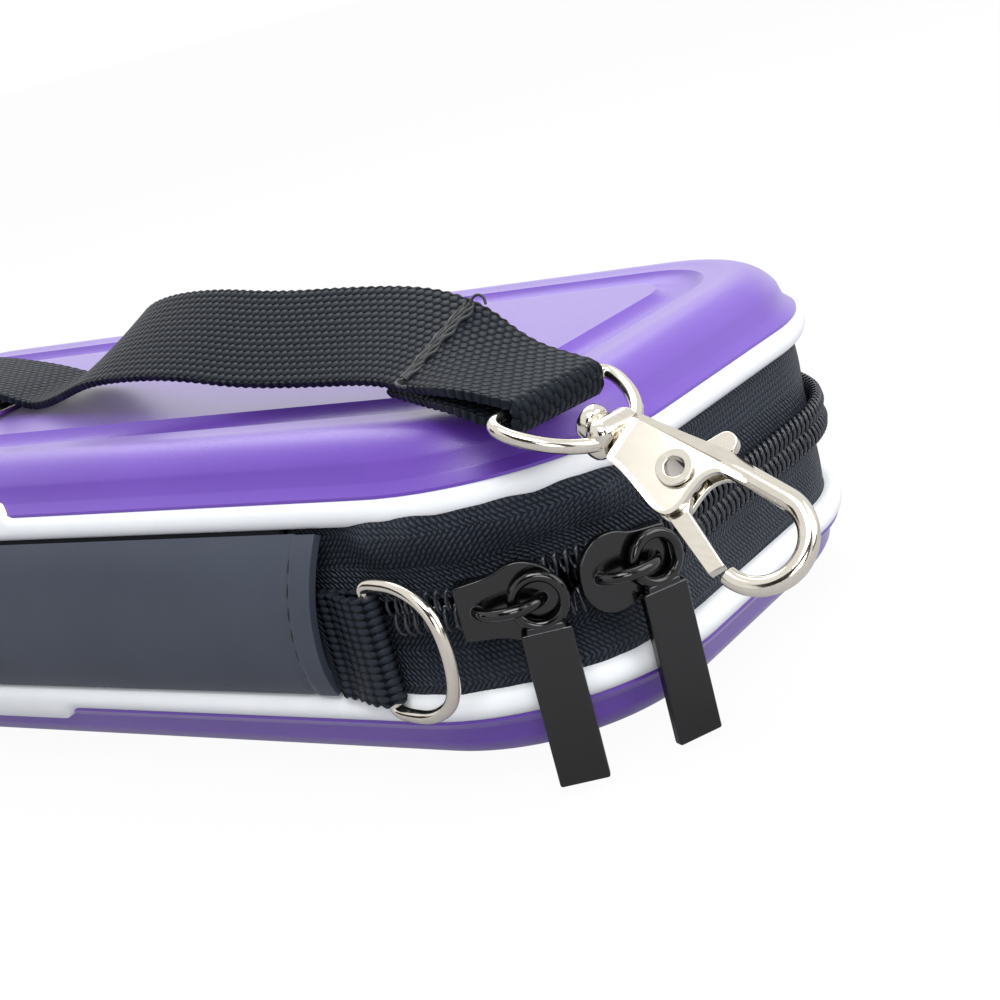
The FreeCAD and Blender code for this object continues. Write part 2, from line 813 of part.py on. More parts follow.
def bent_wire(points, bend, radius, closed):
    # A round wire along straight runs joined by bends of one radius
    count = len(points)
    starts = {}
    ends = {}
    bends = {}
    for index in range(count):
        if not closed and index in (0, count - 1):
            starts[index] = points[index]
            ends[index] = points[index]
            continue
        before = (points[index] - points[index - 1]).normalize()
        after = (points[(index + 1) % count] - points[index]).normalize()
        turn = before.getAngle(after)
        cut = bend * math.tan(turn / 2)
        starts[index] = points[index] - before * cut
        ends[index] = points[index] + after * cut
        inward = (after - before).normalize()
        middle = points[index] + inward * (bend / math.cos(turn / 2) - bend)
        bends[index] = Part.Arc(starts[index], middle, ends[index]).toShape()
    edges = []
    for index in range(count if closed else count - 1):
        follow = (index + 1) % count
        edges.append(Part.LineSegment(ends[index], starts[follow]).toShape())
        if follow in bends:
            edges.append(bends[follow])
    return wire_loop(edges, radius)


def clasp_eye():
    straight = strap_width / 2 + eye_bar_gap
    lug_middle = lug_start + lug_length / 2
    arm_y = lug_radius - eye_wire
    corner_y = straight + eye_bend
    for step in range(20):
        turn = math.pi / 2 + math.atan2(corner_y - arm_y, lug_middle)
        corner_y = straight + eye_bend * math.tan(turn / 2)
    points = [Vector(lug_middle, arm_y, 0), Vector(0, corner_y, 0), Vector(0, -corner_y, 0),
              Vector(lug_middle, -arm_y, 0)]
    wire = bent_wire(points, eye_bend, eye_wire, False)
    lug = Part.makeCylinder(lug_radius, lug_length, Vector(lug_start, 0, 0), Vector(1, 0, 0))
    bore = Part.makeCylinder(swivel_post + swivel_fit, lug_length * 3, Vector(lug_start - lug_length, 0, 0),
                             Vector(1, 0, 0))
    return wire.fuse(lug).cut(bore).removeSplitter()


body_start = lug_start + lug_length + swivel_gap


def plate_from(corners, low, high):
    points = [Vector(x, y, low) for x, y in corners]
    return Part.Face(Part.makePolygon(points + [points[0]])).extrude(Vector(0, 0, high - low))


def on_hook(turn):
    angle = math.radians(90 - turn)
    return Vector(hook_x + hook_radius * math.cos(angle), hook_y + hook_radius * math.sin(angle), 0)


def rivet_hole(radius):
    reach = 3 * body_half_height
    return Part.makeCylinder(radius, 2 * reach, Vector(rivet_x, 0, -reach))


def clasp_hook():
    # Swivel post and head, two plates with a slot for the gate, and the bent hook
    head_end = lug_start - swivel_gap
    head = Part.makeCylinder(swivel_head, swivel_head_length, Vector(head_end - swivel_head_length, 0, 0),
                             Vector(1, 0, 0))
    post = Part.makeCylinder(swivel_post, body_start - head_end + body_end_wall, Vector(head_end, 0, 0),
                             Vector(1, 0, 0))
    wall = box_between((body_start, body_narrow_low, -body_half_height),
                       (body_start + body_end_wall, body_narrow_high, body_half_height))
    root_end = hook_root + hook_root_length
    back_y = hook_y + hook_radius
    outline = [(body_start, body_narrow_low), (body_start, body_narrow_high), body_upper_corner,
               (root_end, back_y + hook_wire), (root_end, back_y - hook_wire)] + body_lower_outline
    front = plate_from(outline, body_slot_half, body_half_height)
    rear = plate_from(outline, -body_half_height, -body_slot_half)
    web = box_between((hook_root, back_y - hook_wire, -body_slot_half),
                      (root_end, back_y + hook_wire * 0.8, body_slot_half))
    path = [
        Part.LineSegment(Vector(hook_root, back_y, 0), on_hook(0)).toShape(),
        Part.Arc(on_hook(0), on_hook(hook_tip_turn / 2), on_hook(hook_tip_turn)).toShape(),
    ]
    hook = wire_loop(path, hook_wire)
    return fuse_all([head, post, wall, front, rear, web, hook]).cut(rivet_hole(rivet_radius + rivet_fit))


def clasp_gate():
    # Hub on the rivet, arm that shuts the hook and tab for the thumb
    hub = Part.makeCylinder(gate_hub, gate_high - gate_low, Vector(rivet_x, 0, gate_low))
    arm = plate_from(gate_arm, gate_low, gate_high)
    pivot = Vector(rivet_x, 0, 0)
    tip = Vector(gate_tab_tip[0], gate_tab_tip[1], 0)
    run = (tip - pivot).normalize()
    side = Vector(-run.y, run.x, 0) * gate_tab_half
    rounding = tip - run * gate_tab_half
    corners = [pivot - side, rounding - side, rounding + side, pivot + side]
    tab = plate_from([(c.x, c.y) for c in corners], gate_low, gate_high)
    end = Part.makeCylinder(gate_tab_half, gate_high - gate_low, Vector(rounding.x, rounding.y, gate_low))
    return fuse_all([hub, arm, tab, end]).cut(rivet_hole(rivet_radius + rivet_fit))


def clasp_rivet():
    # Hollow rivet with a flange on each face of the body
    reach = body_half_height + seat_gap
    end = reach + rivet_head_height
    shank = Part.makeCylinder(rivet_radius, 2 * end, Vector(rivet_x, 0, -end))
    flanges = []
    for low in (reach, -end):
        flanges.append(Part.makeCylinder(rivet_head, rivet_head_height, Vector(rivet_x, 0, low)))
    return fuse_all([shank] + flanges).cut(rivet_hole(rivet_bore))


def clasp_spring():
    # Torsion spring in the body's slot, under the gate's hub, with one leg to the end wall
    low = -body_slot_half + seat_gap
    ring = Part.makeCylinder(spring_outer, spring_height, Vector(rivet_x, 0, low))
    bore = Part.makeCylinder(spring_inner, spring_height, Vector(rivet_x, 0, low))
    leg = box_between((body_start + body_end_wall + seat_gap, -spring_outer, low),
                      (rivet_x, -spring_inner, low + spring_height))
    return fuse_all([ring.cut(bore), leg.cut(bore)])


fold_turn = clasp_frame(front_bar, front_heading, strap_fold_tilt, 0)
strap_start = fold_turn.multVec(Vector(-strap_fold_length - 2 * seat_gap, 0, 0))

for name, side, drop in (("lower", -1, rest_drop), ("upper", 1, 0.0)):
    keep(name + "_shell", shell(side, drop))
    keep(name + "_lining", lining(side))
    keep(name + "_trim", trim(side))
    keep(name + "_zip_tape", zip_tape(side))
    keep(name + "_zip_chain", zip_chain(side))

keep("first_slider", placed(slider(1), on_corner(first_slider_angle)))
keep("second_slider", placed(slider(-1), on_corner(second_slider_angle)))
keep("first_puller", placed(puller(), on_corner(first_slider_angle)))
keep("second_puller", placed(puller(), on_corner(second_slider_angle)))
keep("spine_panel", spine_panel())
keep("spine_stitches", spine_stitches())
keep("spine_lining", spine_lining())
for name, side in (("right", 1), ("left", -1)):
    keep(name + "_ring_tab", ring_tab(side))
    keep(name + "_d_ring", d_ring(side))
keep("mesh_pocket", mesh_pocket())
keep("pocket_binding", pocket_binding())
keep("elastic_band", elastic_band())

keep("strap_fold", placed(strap_fold(), fold_turn))
keep("strap_run", strap_run())
keep("strap_bartack", strap_bartack(1))
keep("strap_loop", strap_loop())
keep("strap_adjuster", adjuster())
for name, bar, heading, swivel in (("front", front_bar, front_heading, front_swivel),
                                   ("rear", rear_bar, rear_heading, rear_swivel)):
    eye_place = clasp_frame(bar, heading, clasp_tilt, 0)
    hook_place = clasp_frame(bar, heading, clasp_tilt, swivel)
    keep(name + "_clasp_eye", placed(clasp_eye(), eye_place))
    keep(name + "_clasp_hook", placed(clasp_hook(), hook_place))
    keep(name + "_clasp_gate", placed(clasp_gate(), hook_place))
    keep(name + "_clasp_rivet", placed(clasp_rivet(), hook_place))
    keep(name + "_clasp_spring", placed(clasp_spring(), hook_place))
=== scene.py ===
import bisect
import math
import bpy
from mathutils import Matrix, Vector, noise


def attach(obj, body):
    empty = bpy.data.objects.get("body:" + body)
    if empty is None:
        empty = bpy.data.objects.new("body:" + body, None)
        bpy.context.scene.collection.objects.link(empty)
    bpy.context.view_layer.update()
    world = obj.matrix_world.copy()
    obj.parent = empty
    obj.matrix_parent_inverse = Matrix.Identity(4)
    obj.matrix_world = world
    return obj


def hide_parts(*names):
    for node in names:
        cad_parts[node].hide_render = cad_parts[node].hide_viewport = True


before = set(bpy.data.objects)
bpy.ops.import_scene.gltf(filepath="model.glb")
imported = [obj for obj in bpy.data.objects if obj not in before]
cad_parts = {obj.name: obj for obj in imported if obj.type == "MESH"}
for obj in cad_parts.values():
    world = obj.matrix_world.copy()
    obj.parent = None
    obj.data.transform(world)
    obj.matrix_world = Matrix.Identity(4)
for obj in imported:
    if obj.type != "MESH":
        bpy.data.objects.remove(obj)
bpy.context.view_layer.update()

mm = 0.001
midLevel = 25.0  # height of the zip line over the table, mm
halves = (("lower", -1, "base"), ("upper", 1, "lid"))  # name, way from the zip line and body of each half


# Small helpers for selecting, applying and joining
def clearSelection():
    if bpy.context.object is not None and bpy.context.object.mode != "OBJECT":
        bpy.ops.object.mode_set(mode="OBJECT")
    bpy.ops.object.select_all(action="DESELECT")


def makeActive(obj):
    clearSelection()
    obj.select_set(True)
    bpy.context.view_layer.objects.active = obj


def applyModifier(obj, kind, **settings):
    makeActive(obj)
    modifier = obj.modifiers.new(kind.lower(), kind)
    for name, value in settings.items():
        setattr(modifier, name, value)
    bpy.ops.object.modifier_apply(modifier=modifier.name)


def joinPieces(pieces, name):
    clearSelection()
    for piece in pieces:
        piece.select_set(True)
    bpy.context.view_layer.objects.active = pieces[0]
    if len(pieces) > 1:
        bpy.ops.object.join()
    obj = bpy.context.object
    obj.name = name
    obj.data.name = name
    return obj


# Rounds the edges that are sharper than an angle in degrees
def easeEdges(obj, width, segments=2, sharpness=40):
    applyModifier(obj, "BEVEL", width=width, segments=segments, limit_method="ANGLE",
                  angle_limit=math.radians(sharpness))


# Opens a piece's mesh with all of it selected
def openMesh(obj):
    makeActive(obj)
    bpy.ops.object.mode_set(mode="EDIT")
    bpy.ops.mesh.select_all(action="SELECT")


def closeMesh():
    bpy.ops.object.mode_set(mode="OBJECT")


def mergeAndTurnOut(obj):
    openMesh(obj)
    bpy.ops.mesh.remove_doubles(threshold=0.004 * mm)
    bpy.ops.mesh.normals_make_consistent(inside=False)
    closeMesh()


def finishPiece(obj, body, slot, material, nodes=(), smoothAngle=35.0, flatFaces=False):
    makeActive(obj)
    bpy.ops.object.shade_smooth_by_angle(angle=math.radians(smoothAngle))
    if flatFaces:
        applyModifier(obj, "WEIGHTED_NORMAL", keep_sharp=True)
    obj.data.materials.clear()
    obj.data.materials.append(material)
    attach(obj, body)
    if nodes:
        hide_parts(*nodes)
    return obj


# Points of a circle arc through three points of a profile
def arcThrough(first, middle, last, count):
    (ax, ay), (bx, by), (cx, cy) = first, middle, last
    aSquare, bSquare, cSquare = ax * ax + ay * ay, bx * bx + by * by, cx * cx + cy * cy
    divisor = 2 * (ax * (by - cy) + bx * (cy - ay) + cx * (ay - by))
    centreX = (aSquare * (by - cy) + bSquare * (cy - ay) + cSquare * (ay - by)) / divisor
    centreY = (aSquare * (cx - bx) + bSquare * (ax - cx) + cSquare * (bx - ax)) / divisor
    radius = math.hypot(ax - centreX, ay - centreY)
    start, through, sweep = (math.atan2(y - centreY, x - centreX) for x, y in (first, middle, last))
    through = (through - start) % math.tau
    sweep = (sweep - start) % math.tau
    if through > sweep:
        sweep -= math.tau
    angles = [start + sweep * step / count for step in range(count + 1)]
    return [(centreX + radius * math.cos(a), centreY + radius * math.sin(a)) for a in angles]


def smoothStep(low, high, value):
    share = min(max((value - low) / (high - low), 0.0), 1.0)
    return share * share * (3 - 2 * share)


# Rises from 0 to 1 over the first two values of a run and falls again over the last two
def plateau(run, value):
    riseFrom, riseTo, fallFrom, fallTo = run
    return smoothStep(riseFrom, riseTo, value) * (1 - smoothStep(fallFrom, fallTo, value))


# The case's outline: a rounded rectangle seen from above
caseOutline = {"length": 210.0, "width": 90.0, "corner": 28.5, "cornerSegments": 22}
arcX = caseOutline["length"] / 2 - caseOutline["corner"]
arcY = caseOutline["width"] / 2 - caseOutline["corner"]
quarter = caseOutline["corner"] * math.pi / 2
zipRun = 4 * quarter + 4 * arcY + 2 * arcX  # from the right end of the spine round to its left end


# Place on the outline, a distance along it from the right end of the spine side, with the way out
def outlineAt(distance):
    corner = caseOutline["corner"]
    if distance < 0:
        return Vector((arcX + distance, -caseOutline["width"] / 2)), Vector((0, -1))
    runs = [
        ("arc", quarter, (arcX, -arcY), -90), ("line", 2 * arcY, (arcX + corner, -arcY), 0),
        ("arc", quarter, (arcX, arcY), 0), ("line", 2 * arcX, (arcX, arcY + corner), 90),
        ("arc", quarter, (-arcX, arcY), 90), ("line", 2 * arcY, (-arcX - corner, arcY), 180),
        ("arc", quarter, (-arcX, -arcY), 180),
    ]
    for kind, length, place, angle in runs:
        if distance <= length:
            turn = math.radians(angle)
            if kind == "arc":
                turn += distance / corner
                out = Vector((math.cos(turn), math.sin(turn)))
                return Vector(place) + out * corner, out
            out = Vector((math.cos(turn), math.sin(turn)))
            return Vector(place) + Vector((-out.y, out.x)) * distance, out
        distance -= length
    return Vector((-arcX + distance, -caseOutline["width"] / 2)), Vector((0, -1))


# Lays a straight piece round the case: x runs along the outline, y inward, z up from the zip line
def wrapOnCase(obj):
    for vertex in obj.data.vertices:
        place, out = outlineAt(vertex.co.x)
        spot = place - out * vertex.co.y
        vertex.co = Vector((spot.x, spot.y, midLevel + vertex.co.z)) * mm


# A flat grid in millimetres with its cloth lengths in the UV map, shaped by a function of (along, across)
def clothGrid(name, length, width, stepsAlong, stepsAcross, shape):
    clearSelection()
    bpy.ops.mesh.primitive_grid_add(x_subdivisions=stepsAlong, y_subdivisions=stepsAcross, size=1.0)
    obj = bpy.context.object
    obj.name = name
    uv = obj.data.uv_layers.active.data
    flat = [((v.co.x + 0.5) * length, (v.co.y + 0.5) * width) for v in obj.data.vertices]
    for loop in obj.data.loops:
        uv[loop.index].uv = flat[loop.vertex_index]
    for vertex, (along, across) in zip(obj.data.vertices, flat):
        vertex.co = shape(along, across)
    return obj


# One skin of a moulded shell: a rounded face stepped inward along a profile of (inset, height) points
def steppedSkin(profile, side, keepMiddle=True):
    leastInset = 0.0002
    inset, level = profile[0]
    clearSelection()
    bpy.ops.mesh.primitive_plane_add(size=1.0, location=(0, 0, (midLevel + side * level) * mm))
    obj = bpy.context.object
    obj.scale = ((caseOutline["length"] - 2 * inset) * mm, (caseOutline["width"] - 2 * inset) * mm, 1)
    bpy.ops.object.transform_apply(location=True, rotation=True, scale=True)
    openMesh(obj)
    bpy.ops.mesh.bevel(offset=(caseOutline["corner"] - inset) * mm, segments=caseOutline["cornerSegments"],
                       profile=0.5, affect="VERTICES")
    bpy.ops.mesh.select_all(action="SELECT")
    for (before, low), (after, high) in zip(profile, profile[1:]):
        bpy.ops.mesh.inset(thickness=max(after - before, leastInset) * mm, depth=side * (high - low) * mm)
    if not keepMiddle:
        bpy.ops.mesh.delete(type="FACE")
    closeMesh()
    return obj


# A plate cut to an outline of (x, y) points, between two heights, with eased edges
def cutPlate(name, outline, low, high, ease, segments=3, crown=None):
    clearSelection()
    bpy.ops.mesh.primitive_circle_add(vertices=len(outline), fill_type="NGON", radius=1.0)
    obj = bpy.context.object
    obj.name = name
    for vertex, (x, y) in zip(obj.data.vertices, outline):
        vertex.co = (x, y, low)
    openMesh(obj)
    bpy.ops.mesh.extrude_region_move(TRANSFORM_OT_translate={"value": (0, 0, high - low)})
    if crown:
        bpy.ops.mesh.inset(thickness=crown[0], depth=crown[1])
    bpy.ops.mesh.select_all(action="SELECT")
    bpy.ops.mesh.normals_make_consistent(inside=False)
    closeMesh()
    easeEdges(obj, ease, segments)
    return obj


# A block between two corners in millimetres, with eased edges
def easedBlock(name, low, high, ease, segments=3):
    clearSelection()
    bpy.ops.mesh.primitive_cube_add(size=1.0, location=[(a + b) / 2 for a, b in zip(low, high)])
    obj = bpy.context.object
    obj.name = name
    obj.scale = [b - a for a, b in zip(low, high)]
    bpy.ops.object.transform_apply(location=True, rotation=True, scale=True)
    applyModifier(obj, "BEVEL", width=ease, segments=segments)
    return obj


# A round bar along x or z between two places in millimetres, with its ends eased where that is asked for
def roundBar(name, start, end, radius, ease=0.0, along="X", place=(0, 0)):
    clearSelection()
    turn = (0, math.pi / 2, 0) if along == "X" else (0, 0, 0)
    middle = ((start + end) / 2, *place) if along == "X" else (*place, (start + end) / 2)
    bpy.ops.mesh.primitive_cylinder_add(vertices=40, radius=radius, depth=end - start, location=middle,
                                        rotation=turn)
    obj = bpy.context.object
    obj.name = name
    bpy.ops.object.transform_apply(location=True, rotation=True, scale=True)
    if ease:
        easeEdges(obj, ease, 3)
    return obj


# Takes the shape of a cutter out of a piece
def cutAway(obj, cutter):
    applyModifier(obj, "BOOLEAN", operation="DIFFERENCE", object=cutter, solver="EXACT")
    bpy.data.objects.remove(cutter)


# Round wire along a line of points in millimetres
def wireAlong(name, points, radius, closed=False, sides=6, swells=None):
    line = bpy.data.curves.new(name, "CURVE")
    line.dimensions = "3D"
    line.bevel_depth = radius
    line.bevel_resolution = sides
    line.use_fill_caps = True
    spline = line.splines.new("POLY")
    spline.points.add(len(points) - 1)
    for point, place in zip(spline.points, points):
        point.co = (*place, 1.0)
    for point, swell in zip(spline.points, swells or []):
        point.radius = swell
    spline.use_cyclic_u = closed
    obj = bpy.data.objects.new(name, line)
    bpy.context.collection.objects.link(obj)
    makeActive(obj)
    bpy.ops.object.convert(target="MESH")
    return bpy.context.object


# A merged copy of a CAD node, with its flat faces joined and its edges eased where that is asked for
def easedCopy(node, name, ease=0.0):
    obj = bpy.data.objects.new(name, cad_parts[node].data.copy())
    bpy.context.collection.objects.link(obj)
    openMesh(obj)
    bpy.ops.mesh.remove_doubles(threshold=0.002 * mm)
    if ease:
        bpy.ops.mesh.dissolve_limited(angle_limit=math.radians(1.0))
    closeMesh()
    if ease:
        easeEdges(obj, ease * mm, 3)
    return obj


# Points along a smooth line that has the given points as its controls
def routeLine(points, divisions=16):
    line = bpy.data.curves.new("routeLine", "CURVE")
    line.dimensions = "3D"
    line.resolution_u = divisions
    spline = line.splines.new("NURBS")
    spline.points.add(len(points) - 1)
    for point, place in zip(spline.points, points):
        point.co = (*place, 1.0)
    spline.order_u = 3
    spline.use_endpoint_u = True
    holder = bpy.data.objects.new("routeLine", line)
    mesh = bpy.data.meshes.new_from_object(holder)
    places = [vertex.co.copy() for vertex in mesh.vertices]
    bpy.data.meshes.remove(mesh)
    bpy.data.objects.remove(holder)
    bpy.data.curves.remove(line)
    return places


# A band of webbing that follows a middle line and one edge line, as a place for each (along, across)
class WebbingBand:
    def __init__(self, middles, edges, width):
        self.middles = middles
        self.edges = edges
        self.width = width
        self.lengths = [0.0]
        for first, second in zip(middles, middles[1:]):
            self.lengths.append(self.lengths[-1] + (second - first).length)

    def length(self):
        return self.lengths[-1]

    def place(self, along, across):
        index = min(max(bisect.bisect_right(self.lengths, along), 1), len(self.lengths) - 1)
        share = (along - self.lengths[index - 1]) / (self.lengths[index] - self.lengths[index - 1])
        middle = self.middles[index - 1].lerp(self.middles[index], share)
        edge = self.edges[index - 1].lerp(self.edges[index], share)
        return middle + (edge - middle).normalized() * (across - self.width / 2)

    def out(self, along, across):
        ahead = self.place(along + 0.2, across) - self.place(along - 0.2, across)
        aside = self.place(along, across + 0.2) - self.place(along, across - 0.2)
        return ahead.cross(aside).normalized()


# Webbing as a solid band with the small loops of its woven edge
def webbingPiece(name, band, form):
    def shape(along, across):
        onEdge = smoothStep(form["loopFrom"], 1.0, abs(2 * across / band.width - 1))
        loops = form["loopRise"] * math.sin(math.tau * along / form["loopLength"]) * onEdge
        side = 1 if across > band.width / 2 else -1
        return band.place(along, across + side * loops) * mm

    steps = int(band.length() / form["step"])
    obj = clothGrid(name, band.length(), band.width, steps, form["rows"], shape)
    mergeAndTurnOut(obj)
    applyModifier(obj, "SOLIDIFY", thickness=form["thickness"] * mm, offset=0.0)
    easeEdges(obj, form["thickness"] * form["easeShare"] * mm, 2, 60)
    return obj


# Materials
def hexColor(code):
    channels = [int(code[i:i + 2], 16) / 255 for i in (0, 2, 4)]
    linear = [c / 12.92 if c <= 0.04045 else ((c + 0.055) / 1.055) ** 2.4 for c in channels]
    return (*linear, 1.0)


def addNode(tree, kind, values=None, links=None, **settings):
    node = tree.nodes.new(kind)
    for name, value in settings.items():
        setattr(node, name, value)
    for name, value in (values or {}).items():
        node.inputs[name].default_value = value
    for name, socket in (links or {}).items():
        tree.links.new(socket, node.inputs[name])
    return node


def newMaterial(name, values):
    material = bpy.data.materials.new(name)
    material.use_nodes = True
    tree = material.node_tree
    tree.nodes.clear()
    shader = addNode(tree, "ShaderNodeBsdfPrincipled", values)
    addNode(tree, "ShaderNodeOutputMaterial", links={"Surface": shader.outputs["BSDF"]})
    return material, tree, shader


# Two colours mixed by a factor
def tintBetween(tree, shader, factor, first, second):
    mix = addNode(tree, "ShaderNodeMix", data_type="RGBA")
    mix.inputs[6].default_value = hexColor(first)
    mix.inputs[7].default_value = hexColor(second)
    tree.links.new(factor, mix.inputs[0])
    tree.links.new(mix.outputs[2], shader.inputs["Base Color"])


def raiseBy(tree, shader, height, distance, strength):
    bump = addNode(tree, "ShaderNodeBump", {"Distance": distance * mm, "Strength": strength},
                   {"Height": height})
    tree.links.new(bump.outputs["Normal"], shader.inputs["Normal"])


# Cloth lengths of a piece as two sockets, in millimetres
def clothLengths(tree):
    spread = addNode(tree, "ShaderNodeUVMap")
    parts = addNode(tree, "ShaderNodeSeparateXYZ", links={"Vector": spread.outputs["UV"]})
    return parts.outputs["X"], parts.outputs["Y"]


def calc(tree, operation, first, second=None, third=None):
    node = addNode(tree, "ShaderNodeMath", operation=operation)
    for index, value in enumerate((first, second, third)):
        if value is None:
            continue
        if isinstance(value, (int, float)):
            node.inputs[index].default_value = value
        else:
            tree.links.new(value, node.inputs[index])
    return node.outputs[0]


# A round hump over each whole step of a count
def hump(tree, count):
    return calc(tree, "SINE", calc(tree, "MULTIPLY", calc(tree, "FRACT", count), math.pi))


# Noise in the piece's own space, as a value from 0 to 1
def speckle(tree, scale, detail=2.0, stretch=None):
    place = addNode(tree, "ShaderNodeTexCoord").outputs["Object"]
    if stretch:
        place = addNode(tree, "ShaderNodeMapping", {"Scale": stretch}, {"Vector": place}).outputs["Vector"]
    spots = addNode(tree, "ShaderNodeTexNoise", {"Scale": scale, "Detail": detail}, {"Vector": place})
    return spots.outputs["Fac"]


def glossBetween(tree, shader, factor, low, high):
    gloss = addNode(tree, "ShaderNodeMapRange", {"To Min": low, "To Max": high}, {"Value": factor})
    tree.links.new(gloss.outputs["Result"], shader.inputs["Roughness"])


# A skin with a tint clouded by noise of (scale, detail) and maybe a grain of (scale, detail, depth, strength)
def cloudedSkin(name, values, tints, cloud, grain=None):
    material, tree, shader = newMaterial(name, values)
    tintBetween(tree, shader, speckle(tree, *cloud), *tints)
    if grain:
        scale, detail, depth, strength = grain
        raiseBy(tree, shader, speckle(tree, scale, detail), depth, strength)
    return material


# Satin polyester laminated on moulded foam: purple with a soft wide gloss and a very fine weave
def satinLaminate():
    look = {"threadMm": 0.34, "color": "5A30A2", "worn": "673CB0", "depth": 0.035, "strength": 0.5}
    material, tree, shader = newMaterial("satinLaminate", {
        "Roughness": 0.36, "IOR": 1.5, "Sheen Weight": 0.42, "Sheen Roughness": 0.4,
        "Sheen Tint": hexColor("E2DFE8"), "Coat Weight": 0.4, "Coat Roughness": 0.32})
    place = addNode(tree, "ShaderNodeTexCoord")
    bandLength = 0.6283  # of a wave texture at scale 1
    scale = bandLength / (look["threadMm"] * mm * math.sqrt(2))
    threads = []
    for turn in ((1, 1, 1), (1, -1, -1)):
        turned = addNode(tree, "ShaderNodeMapping", {"Scale": turn}, {"Vector": place.outputs["Object"]})
        wave = addNode(tree, "ShaderNodeTexWave", {"Scale": scale, "Distortion": 2.5, "Detail Scale": 1.5},
                       {"Vector": turned.outputs["Vector"]}, bands_direction="DIAGONAL")
        threads.append(wave.outputs["Fac"])
    tintBetween(tree, shader, speckle(tree, 45.0, 3.0), look["color"], look["worn"])
    raiseBy(tree, shader, calc(tree, "MULTIPLY", *threads), look["depth"], look["strength"])
    return material


# Soft white PVC piping: bright, smooth, with faint scuffs that dull the gloss
def whitePiping():
    material, tree, shader = newMaterial("whitePiping", {"IOR": 1.53})
    scuff = speckle(tree, 260.0, 4.0)
    tintBetween(tree, shader, scuff, "F3F5F8", "E9EDF2")
    glossBetween(tree, shader, scuff, 0.3, 0.48)
    raiseBy(tree, shader, scuff, 0.05, 0.15)
    return material


# Herringbone polyester tape: near black, the top of each short yarn of the diagonal ribs painted lighter as a
# highlight and the gaps between them painted darker as shade
def zipTwill():
    look = {"ribMm": 0.8, "yarnMm": 1.7, "bandMm": 4.6, "wander": 0.4, "gapShade": "040507", "yarnTopLit": "333843",
            "depth": 0.36}
    material, tree, shader = newMaterial("zipTwill", {
        "Roughness": 0.48, "Specular IOR Level": 0.4, "Specular Tint": hexColor("C4D2E6"),
        "Sheen Weight": 0.05, "Sheen Roughness": 0.5, "Sheen Tint": hexColor("8A95A8")})
    along, across = clothLengths(tree)
    spread = addNode(tree, "ShaderNodeUVMap")
    drift = addNode(tree, "ShaderNodeTexNoise", {"Scale": 0.45}, {"Vector": spread.outputs["UV"]})
    wander = calc(tree, "MULTIPLY_ADD", drift.outputs["Fac"], look["wander"] * 2, -look["wander"])
    zigzag = calc(tree, "PINGPONG", across, look["bandMm"])
    ribPlace = calc(tree, "ADD", calc(tree, "ADD", zigzag, along), wander)
    ribCount = calc(tree, "MULTIPLY", ribPlace, 1 / look["ribMm"])
    yarnPlace = calc(tree, "ADD", calc(tree, "SUBTRACT", along, zigzag), wander)
    yarnRun = calc(tree, "MULTIPLY", yarnPlace, 1 / look["yarnMm"])
    yarnCount = calc(tree, "MULTIPLY_ADD", calc(tree, "FLOOR", ribCount), 0.5, yarnRun)
    height = calc(tree, "MULTIPLY", hump(tree, ribCount), calc(tree, "POWER", hump(tree, yarnCount), 0.5))
    # Colour follows the weave's height: painted shade in the gaps, painted highlight on the yarn tops
    tintBetween(tree, shader, height, look["gapShade"], look["yarnTopLit"])
    raiseBy(tree, shader, height, look["depth"], 1.0)
    return material


# Polypropylene webbing: fat black yarns over and under each other, each a small grain with a dull cool shine,
# painted lighter on its top as a highlight and darker in the gaps as shade
def wovenWebbing(name, look):
    material, tree, shader = newMaterial(name, {
        "Roughness": 0.45, "Specular IOR Level": 0.15, "Specular Tint": hexColor("C4D2E6")})
    along, across = clothLengths(tree)
    halfGrain, halfRow = look["grainMm"] / 2, look["rowMm"] / 2
    forth = calc(tree, "PINGPONG", along, halfGrain)
    aside = calc(tree, "PINGPONG", across, halfRow)

    def fromGrain(lengthwise, sideways):
        first = calc(tree, "MULTIPLY", lengthwise, 1 / (look["grainMm"] * look["grainReach"]))
        second = calc(tree, "MULTIPLY", sideways, 1 / (look["rowMm"] * look["rowReach"]))
        return calc(tree, "ADD", calc(tree, "POWER", first, 2.0), calc(tree, "POWER", second, 2.0))

    away = fromGrain(forth, aside)
    if look["staggered"]:
        between = fromGrain(calc(tree, "SUBTRACT", halfGrain, forth), calc(tree, "SUBTRACT", halfRow, aside))
        away = calc(tree, "MINIMUM", away, between)
    height = calc(tree, "SQRT", calc(tree, "MAXIMUM", calc(tree, "SUBTRACT", 1.0, away), 0.0))
    # Colour follows the weave's height: painted shade in the gaps, painted highlight on the grain tops
    tintBetween(tree, shader, height, look["gapShade"], look["yarnTopLit"])
    raiseBy(tree, shader, height, look["depth"], 1.0)
    return material


